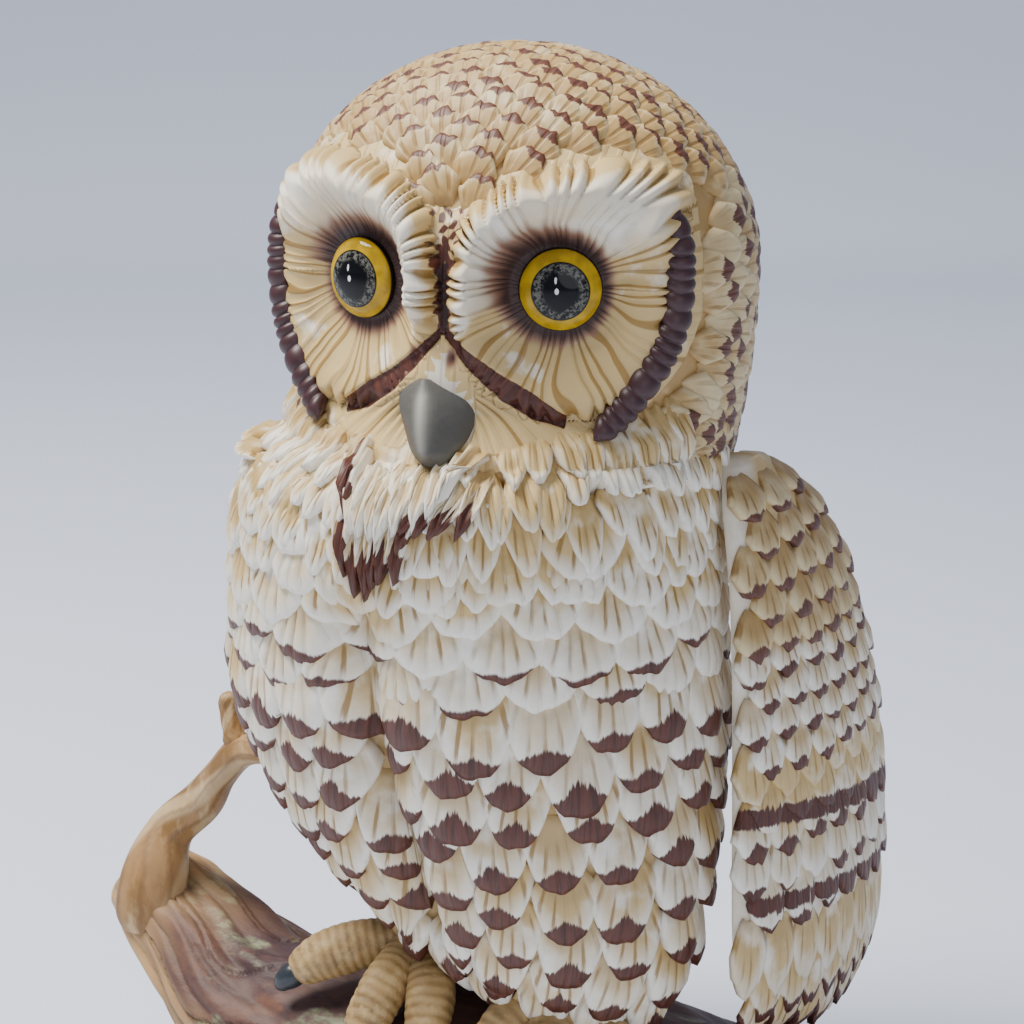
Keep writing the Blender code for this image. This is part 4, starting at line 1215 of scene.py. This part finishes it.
# %% Eye beads
EYE_RADIUS, EYE_BULGE = 7.75, 3.6
for side, name in ((-1, "right_eye"), (1, "left_eye")):
    centre = head_world(np.array([side * EYE_X, -HEAD_FRONT * 0.72, EYE_Z]))
    tilt = side * EYE_SPLAY + HEAD_TURN
    look = np.array([np.sin(tilt), -np.cos(tilt), 0])
    across = np.array([np.cos(tilt), np.sin(tilt), 0])
    centre = centre + look * 2.5
    polar = np.concatenate([np.linspace(0.02, np.pi / 2, 60), np.linspace(np.pi / 2, np.pi - 0.1, 10)[1:]])
    a, polar = full_turn(64)[None], polar[:, None]
    hidden = polar > np.pi / 2
    r = EYE_RADIUS * np.sin(polar)
    d = EYE_BULGE * np.cos(polar) * np.where(hidden, 0.6, 1)
    spot_x, spot_z = r * np.cos(a), r * np.sin(a)
    rings = centre + spot_x[..., None] * across + spot_z[..., None] * np.array([0, 0, 1])
    rings = rings + (d + 0 * a)[..., None] * look
    share = np.where(hidden, 1.0, r / EYE_RADIUS) + 0 * a
    # painted highlight: two soft white spots near the middle of the pupil, the second fainter and higher
    painted_glint = np.exp(-((((spot_x + side * 0.1 + 0.6) / 0.42) ** 2 + ((spot_z - 0.1) / 0.62) ** 2) ** 2))
    painted_glint = np.maximum(painted_glint, 0.8 * np.exp(-((((spot_x + 0.9) / 0.28) ** 2 + ((spot_z - 2.1) / 0.8) ** 2) ** 2)))
    painted_glint = np.where(hidden, 0, painted_glint)
    bead = closed_rings(f"{name}_bead", rings, eye_enamel, {"ring": share, "glint": painted_glint})
    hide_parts(name)

# %% [markdown]
# ## Ruffs
# The dark edge of each disc is a crimped roll of clay. Each crimp is pressed with a tool, so it bulges
# between two sharp creases. It is brushed with nearly black brown, and its tops catch the light.

# %% Ruffs
ruff_paint, tree, shader = start_material("brown_painted_crimp", 0.42)
paint_and_grain(tree, shader, mix(tree, noise(tree, object_place(tree), 420.0, 4.0), "#2C1619", "#4A2A2C"))
RUFF_PATH = np.array(
    [(34.8, 16.5), (37.6, 10.0), (38.6, 2.5), (38.2, -5.5), (36.0, -13.0), (32.0, -20.0), (26.8, -27.0)]
)


def along_path(path, count):
    """Evenly spaced places on a fair curve through a list of points, with their directions."""
    path = np.asarray(path, float)
    walked = np.concatenate([[0], np.cumsum(np.linalg.norm(np.diff(path[:, :3], axis=0), axis=1))])
    found = np.moveaxis(fair(np.column_stack([walked, path]), np.linspace(0, walked[-1], count)), 0, -1)
    return found, unit(np.gradient(found[:, :3], axis=0)), walked[-1]


for side, name in ((-1, "right_ruff"), (1, "left_ruff")):
    path, _, run = along_path(np.column_stack([RUFF_PATH, 0 * RUFF_PATH[:, 0]]), 190)
    egg, out = egg_point(side * path[:, 0], path[:, 1])
    middle = head_world(egg + 1.4 * out)
    out = head_world(out) - HEAD_CENTRE
    along = unit(np.gradient(middle, axis=0))
    sideways = unit(np.cross(along, out))
    s = np.linspace(0, 1, len(path))
    crimp = np.abs(np.sin(np.pi * (s * 18 + 0.3 * np.sin(s * 21)))) ** 0.45
    ends = np.sqrt(np.clip(1 - (2 * s - 1) ** 12, 0.02, 1))
    width = (3.0 - 1.2 * (1 - smooth_step(0, 0.22, s))) * (0.74 + 0.30 * crimp) * ends
    cos_a, sin_a = (wave(full_turn(28))[None, :, None] for wave in (np.cos, np.sin))
    rings = middle[:, None] + width[:, None, None] * (cos_a * sideways[:, None] + 0.95 * sin_a * out[:, None])
    rings = rings + 0.55 * sin_a * along[:, None]
    ruff = closed_rings(f"{name}_crimp", rings, ruff_paint)
    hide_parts(name)

# %% [markdown]
# ## Beak
# A hooked wedge with a soft ridge down its middle, painted a warm grey with a thin lighter line along the
# ridge. The grey was mixed with a little varnish, so it shines more than the clay.

# %% Beak
beak_paint, tree, shader = start_material("satin_grey_beak_paint", 0.55)
patch = noise(tree, object_place(tree), 700.0, 5.0, 0.7)
grey = mix(tree, attribute(tree, "ring"), mix(tree, patch, "#464440", "#5E5C56"), "#8C897E")
paint_and_grain(tree, shader, grey, patch, 0.25, 0.0004)

t = np.concatenate([np.linspace(0, 0.06, 6), np.linspace(0.08, 0.95, 44), [0.97, 0.985, 0.995, 1.0]])
a = full_turn(64)
ridge = 0.72 * np.clip(np.cos(a), 0, 1) ** 0.9 + 0.28 * np.clip(np.cos(a), 0, 1) ** 8
width = 7.6 * np.sqrt(np.clip(1 - ((t - 0.36) / np.where(t < 0.36, 0.385, 0.66)) ** 2, 0, 1)) ** 0.95
width = width * (1 - 0.25 * smooth_step(0.55, 1.0, t)) + 0.15
reach = 9.6 * np.sin(np.pi * (0.08 + 0.50 * t)) * (1 - 0.22 * smooth_step(0.8, 1.0, t))
root = egg_point(np.array(0.0), np.array(-21.6))[0][1] - 2.6 + 4
back = 13 * 0.80 * smooth_step(0.55, 1.03, t)
depth = root - back[:, None] - (reach + 4 - back)[:, None] * ridge[None]
drop = -16.4 - 15.0 * t
aside = width[:, None] * np.sin(a)[None] + (3.0 * t - 2.6)[:, None]
rings = head_world(np.stack([aside, depth, drop[:, None] + 0 * a[None]], -1))
# a thin lighter grey line along the ridge, fading out near both ends of the beak
line = np.exp(-((np.sin(a) / 0.16) ** 2)) * (np.cos(a) > 0)
line = line[None] * (smooth_step(0.05, 0.2, t) * (1 - smooth_step(0.75, 0.95, t)))[:, None]
beak = closed_rings("beak_hook", rings, beak_paint, {"ring": line}, flip=True)
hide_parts("beak")

# %% [markdown]
# ## Limb, twig and feet
# The limb is cast with a shallow bark of long ridges and stained brown and purple, with a green
# bloom and a warm tan edge where the stain was wiped thin. The twig and the toes are tan. Toes carry
# fine rings pressed round them and end in dark talons.

# %% Bark stain, twig and toe finishes


def washed_clay(name, tones, worn, deep, scale, roughness, stretch=(1, 1, 1), grain=0.3):
    """Layers of stain: each tone after the first covers where its own noise is high."""
    material, tree, shader = start_material(name, roughness)
    where = put(tree, "Mapping", {}, {0: object_place(tree), "Scale": stretch})
    mixed = tones[0][0]
    for k, (tone, share) in enumerate(tones[1:], 1):
        spot = put(tree, "Mapping", {}, {0: where, "Location": (0.31 * k, 0.17 * k, 0.53 * k)})
        patches = noise(tree, spot, scale * (1 + 0.6 * k), 5.0, 0.62)
        mixed = mix(tree, patches.ease(0.72 - share, 0.86 - share), mixed, tone)
    worn_share, deep_share, _ = put(tree, "SeparateColor", {}, {0: attribute(tree, "worn", "Color")}).outputs
    mixed = mix(tree, deep_share, mix(tree, worn_share, mixed, worn), deep)
    paint_and_grain(tree, shader, mixed, noise(tree, where, scale * 6, 5.0, 0.7), grain)
    print(name, len(tree.nodes), "nodes")
    return material


bark_stain = washed_clay(
    "stained_bark", (("#5A3E34", 1), ("#41292A", 0.26), ("#6E4A3A", 0.2), ("#84896A", 0.17)),
    "#C29A66", "#33231F", 38, 0.6, (0.6, 1, 1), 0.4,
)
twig_wash = washed_clay(
    "tan_twig_wash", (("#A07A4C", 1), ("#84602F", 0.22), ("#C2A678", 0.18)), "#D8BE93", "#6B4A2C",
    60, 0.55, (1, 1, 0.4),
)
toe_paint = washed_clay(
    "tan_toe_paint", (("#A3824F", 1), ("#86683C", 0.24), ("#B89A68", 0.2)), "#CDB07C", "#6E5230", 90, 0.5
)
talon_paint, _, talon_shader = start_material("dark_talon_paint", 0.3)
talon_shader.inputs["Base Color"].default_value = colour("#2A3035")


def colour_mask(red, green):
    """Two masks in one vector: where the stain is worn to the clay, and where it lies deep."""
    return {"worn": np.stack([np.clip(red, 0, 1), np.clip(green, 0, 1), np.zeros_like(red + green)], -1)}


# %% [markdown]
# The limb is one tapered casting. Its bark is modelled in the skin: long ridges, swellings and a few
# cracks, smoothed where the feet stand. Both ends are sawn and slightly hollow.

# %% Limb
LIMB_STATIONS = np.array((
    (-87.0, 3.0, 41.0, 11.0, 10.0), (-71.0, -1.0, 30.5, 16.0, 12.8), (-53.0, -5.0, 20.5, 22.0, 15.8),
    (-30.0, -6.0, 15.0, 30.0, 20.0), (0.0, -5.0, 14.0, 34.0, 22.0), (30.0, -2.0, 12.0, 32.0, 20.5),
    (56.0, 2.0, 10.0, 26.0, 17.0), (72.0, 4.0, 9.0, 19.0, 13.0),
))
count, around = 240, 200
table = np.column_stack([LIMB_STATIONS[:, 0], LIMB_STATIONS])
rows = np.moveaxis(fair(table, np.linspace(-87, 72, count)), 0, -1)
centre, half_width, half_height = rows[:, :3], rows[:, 3], rows[:, 4]
along = unit(np.gradient(centre, axis=0))
across = unit(np.cross((0, 0, 1), along))
over = np.cross(along, across)
a = full_turn(around)[None]
s = np.linspace(0, 1, count)[:, None]
ridges = np.abs(np.sin(a * 9 + 1.6 * wobble(s * 9, 3) + 0.7 * wobble(a * 2 + s * 5, 4))) ** 0.7
knots = wobble(a * 3 + s * 11, 5) + wobble(a * 5 - s * 17, 6)
bark = 0.8 * (ridges - 0.65) + 0.9 * knots - 0.9 * (np.abs(np.sin(a * 4 + s * 7 + wobble(s * 14, 8))) < 0.08)
bark = bark * np.minimum(smooth_step(0, 0.04, s), 1 - smooth_step(0.97, 1.0, s)) - 0.6
tread = np.exp(-(((centre[:, 0:1] - 4) / 40) ** 4)) * smooth_step(0.2, 0.9, np.sin(a))
bark = bark * (1 - 0.6 * tread)
rings = centre[:, None] + ((half_width[:, None] + bark) * np.cos(a))[..., None] * across[:, None]
rings = rings + ((half_height[:, None] + bark) * np.sin(a))[..., None] * over[:, None]
SAWN_RINGS = ((0.93, 0.9), (0.86, 0.3), (0.55, -0.8), (0.2, -1.2))  # size, depth


def sawn_end(ring, way):
    """Smaller and smaller rings that close an end with a rounded rim and a slightly hollow face."""
    return np.array([ring.mean(0) + (ring - ring.mean(0)) * size - way * depth for size, depth in SAWN_RINGS])


def over_ends(mask):
    return np.pad(mask, ((len(SAWN_RINGS), len(SAWN_RINGS)), (0, 0)), mode="edge")


rings = np.concatenate([sawn_end(rings[0], along[0])[::-1], rings, sawn_end(rings[-1], -along[-1])])
rings[..., 2] = np.maximum(rings[..., 2], 0.0)
low_side = smooth_step(0.35, -0.25, np.sin(a) + 0.25 * knots)
left_end = 1 - smooth_step(0.02, 0.16, s + 0.03 * knots)
worn = np.clip(low_side * (1 - smooth_step(0.35, 0.8, s)) + left_end * 0.9, 0, 1) * (0.75 + 0.25 * knots)
deep = (1 - smooth_step(0.1, 0.4, ridges)) * 0.45 + 0 * s
limb = closed_rings("bark_limb", rings, bark_stain, colour_mask(over_ends(worn), over_ends(deep)))
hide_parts("limb")

# %% [markdown]
# The twig and the toes are rolled by hand, so each is a tube along a fair route whose ends round off.

# %% Tubes for twig and feet


def tube(name, route, material, shape=None, count=90, around=40, masks=None, node=None):
    """A round skin along a route of points and radii. shape(s, a) is added to the radius."""
    path, along, run = along_path(route, count)
    helper = np.array([0.0, 1.0, 0.0]) if abs(along[:, 1].mean()) < 0.7 else np.array([1.0, 0, 0])
    sideways = unit(np.cross(along, helper))
    upward = np.cross(sideways, along)
    a, s = full_turn(around)[None], np.linspace(0, 1, count)[:, None]
    flat = 0 * (s + a)
    radius = path[:, 3:4] + (shape(s, a, run) if shape else flat)
    for walked, end_radius in ((s * run, path[0, 3]), ((1 - s) * run, path[-1, 3])):
        radius = radius * np.sqrt(np.clip(1 - np.clip(walked / end_radius - 1, -1, 0) ** 2, 0.03, 1))
    rings = path[:, None, :3] + (radius * np.cos(a))[..., None] * sideways[:, None]
    rings = rings + (radius * np.sin(a))[..., None] * upward[:, None]
    worn, deep = masks(s, a, run) if masks else (flat, flat)
    made = closed_rings(name, rings, material, colour_mask(worn + flat, deep + flat), flip=True)
    if node:
        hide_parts(node)
    return made


# %% [markdown]
# The twig rises from the high end of the limb, bends in and forks beside the owl's flank.

# %% Twig
TWIG_STEM = (
    (-81.5, -6.0, 31.0, 4.0), (-81.0, -6.5, 38.0, 7.4), (-80.0, -5.0, 46.5, 7.0), (-78.0, -2.0, 54.5, 5.2),
    (-71.0, 0.0, 62.0, 4.6), (-65.0, -2.0, 69.5, 3.5), (-59.0, -3.4, 75.5, 3.4), (-51.5, -6.0, 77.5, 2.6),
    (-38.0, -9.5, 78.5, 2.3),
)
TWIG_SPUR = (
    (-59.8, -3.4, 76.0, 2.9), (-61.4, -2.7, 80.0, 2.3), (-62.6, -2.0, 84.5, 2.0), (-62.8, -1.6, 88.0, 2.4),
)


def twig_stripe(s, a):
    return np.sin(a * 7 + 3 * wobble(s * 8, 12))


def twig_grain(s, a, run):
    return 0.15 * wobble(np.cos(a) * 2 + s * 6, 11) + 0.10 * twig_stripe(s, a)


def twig_masks(s, a, run):
    return 0.5 * smooth_step(0.2, 0.8, np.sin(a * 2 + s * 9)), 0.5 * smooth_step(0.6, 1, twig_stripe(s, a))


tube("twig_stem", TWIG_STEM, twig_wash, twig_grain, 160, 48, twig_masks, "twig")
tube("twig_stub", TWIG_SPUR, twig_wash, twig_grain, 50, 32, twig_masks, "twig_spur")

# %% [markdown]
# Each foot has three toes in front and one behind, laid over the limb. Every toe bends at a knuckle
# and ends in a separate dark talon.

# %% Feet
FEET = {
    "right": {
        "hip": (-12.0, -9.0, 66.0), "ball": (-11.0, -12.5, 47.0),
        "inner": ((-3.5, -25.5, 39.0), (-0.5, -35.0, 26.0)),
        "middle": ((-13.0, -27.0, 39.5), (-15.5, -37.0, 26.5)),
        "outer": ((-25.5, -19.5, 43.0), (-38.5, -26.0, 34.0)),
        "hind": ((-13.5, 2.0, 41.5), (-15.0, 13.5, 36.5)),
    },
    "left": {
        "hip": (21.0, -9.0, 58.0), "ball": (22.0, -13.5, 41.5),
        "inner": ((14.5, -26.0, 37.0), (10.0, -35.0, 25.5)),
        "middle": ((23.5, -27.5, 35.5), (24.5, -36.5, 23.0)),
        "outer": ((34.0, -21.5, 34.5), (42.5, -27.0, 24.5)),
        "hind": ((22.0, 1.0, 38.5), (22.0, 12.5, 34.5)),
    },
}
TOE_RING_PITCH = 1.9


def toe_ring(s, run):
    """0 in the crease between two rings of a toe, 1 on the ring."""
    return np.abs(np.sin(np.pi * s * run / TOE_RING_PITCH))


def toe_rings(s, a, run):
    return 0.22 * toe_ring(s, run) ** 0.6 + 0.25 * wobble(a * 2 + s * 5, 21) - 0.1


def toe_masks(s, a, run):
    return 0.35 * toe_ring(s, run) ** 3, 0.35 * (1 - toe_ring(s, run)) ** 3


for side, places in FEET.items():
    hip, ball = np.array(places["hip"]), np.array(places["ball"])
    knee = (hip + ball) / 2
    leg = [(*hip, 9.0), (*knee, 7.5), (*ball, 7.5), (*(ball - (0, 0, 7.0)), 6.0)]
    tube(f"{side}_leg_skin", leg, toe_paint, toe_rings, 80, 40, toe_masks, f"{side}_leg")
    for toe in ("middle", "inner", "outer", "hind"):
        knuckle, tip = (np.array(p) for p in places[toe])
        bend = knuckle + (tip - knuckle) * 0.45 + (0, 0, 1.5)
        flesh = knuckle + (tip - knuckle) * 0.78 + (0, 0, 0.9)
        first = ball + (knuckle - ball) * 0.12
        route = [(*first, 4.2), (*((first + knuckle) / 2), 4.7), (*knuckle, 5.0), (*bend, 4.5), (*flesh, 3.4)]
        node = f"{side}_toe_{toe}"
        tube(f"{node}_skin", route, toe_paint, toe_rings, 80, 40, toe_masks, node)
        arch = (flesh + tip) / 2 + (0, 0, 0.5)
        claw = [(*((bend + flesh) / 2), 2.4), (*(flesh + (0, 0, 0.3)), 2.7), (*arch, 2.3), (*tip, 1.1)]
        tube(f"{side}_talon_{toe}", claw, talon_paint, None, 30, 24, None, None)

# %% [markdown]
# ## Light, floor and camera
# A pale seamless sheet, a broad soft light overhead and a weak one from the front.

# %% Stage and camera


def look_along(thing, place, way):
    """Puts a lamp or a camera at a place, looking along a direction."""
    thing.location = place
    thing.rotation_mode = "QUATERNION"
    thing.rotation_quaternion = Vector(way).to_track_quat("-Z", "Y")
    bpy.context.scene.collection.objects.link(thing)


def soft_light(name, place, aim, size, power, tone):
    lamp = bpy.data.lights.new(name, "AREA")
    lamp.shape, lamp.size, lamp.energy, lamp.color = "DISK", size, power, colour(tone)[:3]
    look_along(bpy.data.objects.new(name, lamp), place, Vector(aim) - Vector(place))


soft_light("overhead_softbox", (-0.35, -0.20, 0.95), (0, 0, 0.12), 0.5, 17.5, "#FFFCF5")
soft_light("front_fill", (0.75, -0.9, 0.45), (0, 0, 0.12), 0.8, 2.2, "#F3F6FF")
world = bpy.data.worlds.new("studio")
bpy.context.scene.world = world
world.use_nodes = True
world.node_tree.nodes["Background"].inputs[0].default_value = colour("#D2DAEE")
world.node_tree.nodes["Background"].inputs[1].default_value = 0.52

AZIMUTH, ELEVATION, DISTANCE = np.radians(25.0), np.radians(14.0), 0.6
VIEW_HEIGHT, SENSOR_WIDTH = 0.2048, 36
right = np.array([np.cos(AZIMUTH), np.sin(AZIMUTH), 0])
ahead = np.array([-np.sin(AZIMUTH), np.cos(AZIMUTH), 0])

sheet_paint, _, sheet_shader = start_material("pale_paper_sweep", 0.9)
sheet_shader.inputs["Base Color"].default_value = colour("#E4EAF8")
profile = np.array([(-3.0, 0), (0.5, 0), (1.0, 0.02), (1.3, 0.15), (1.45, 0.45), (1.5, 1.0), (1.5, 3.2)])
back, up = (np.interp(np.linspace(0, 6, 61), range(7), column)[:, None, None] for column in profile.T)
sweep_points = np.array([-4.0, 4.0])[None, :, None] * right + back * ahead + up * np.array([0, 0, 1])
floor = skin("paper_sweep", sweep_points.reshape(-1, 3) / MM, grid_faces(61, 2), sheet_paint)
floor.parent = None
floor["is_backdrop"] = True

towards_camera = np.sin(ELEVATION) * np.array([0, 0, 1]) - np.cos(ELEVATION) * ahead
aim_point = right * 0.0024 + np.array([0, 0, 0.1294 / np.cos(ELEVATION)])
camera = bpy.data.objects.new("camera", bpy.data.cameras.new("camera"))
look_along(camera, aim_point + towards_camera * DISTANCE, -towards_camera)
camera.data.sensor_width = SENSOR_WIDTH
camera.data.lens = SENSOR_WIDTH * DISTANCE / VIEW_HEIGHT
camera.data.clip_start = 0.05
bpy.context.scene.camera = camera
print("camera at", camera.location)

# %% [markdown]
# ## Size
# The box of the finished figurine is printed.

low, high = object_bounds()
print("visual box:", low, high)
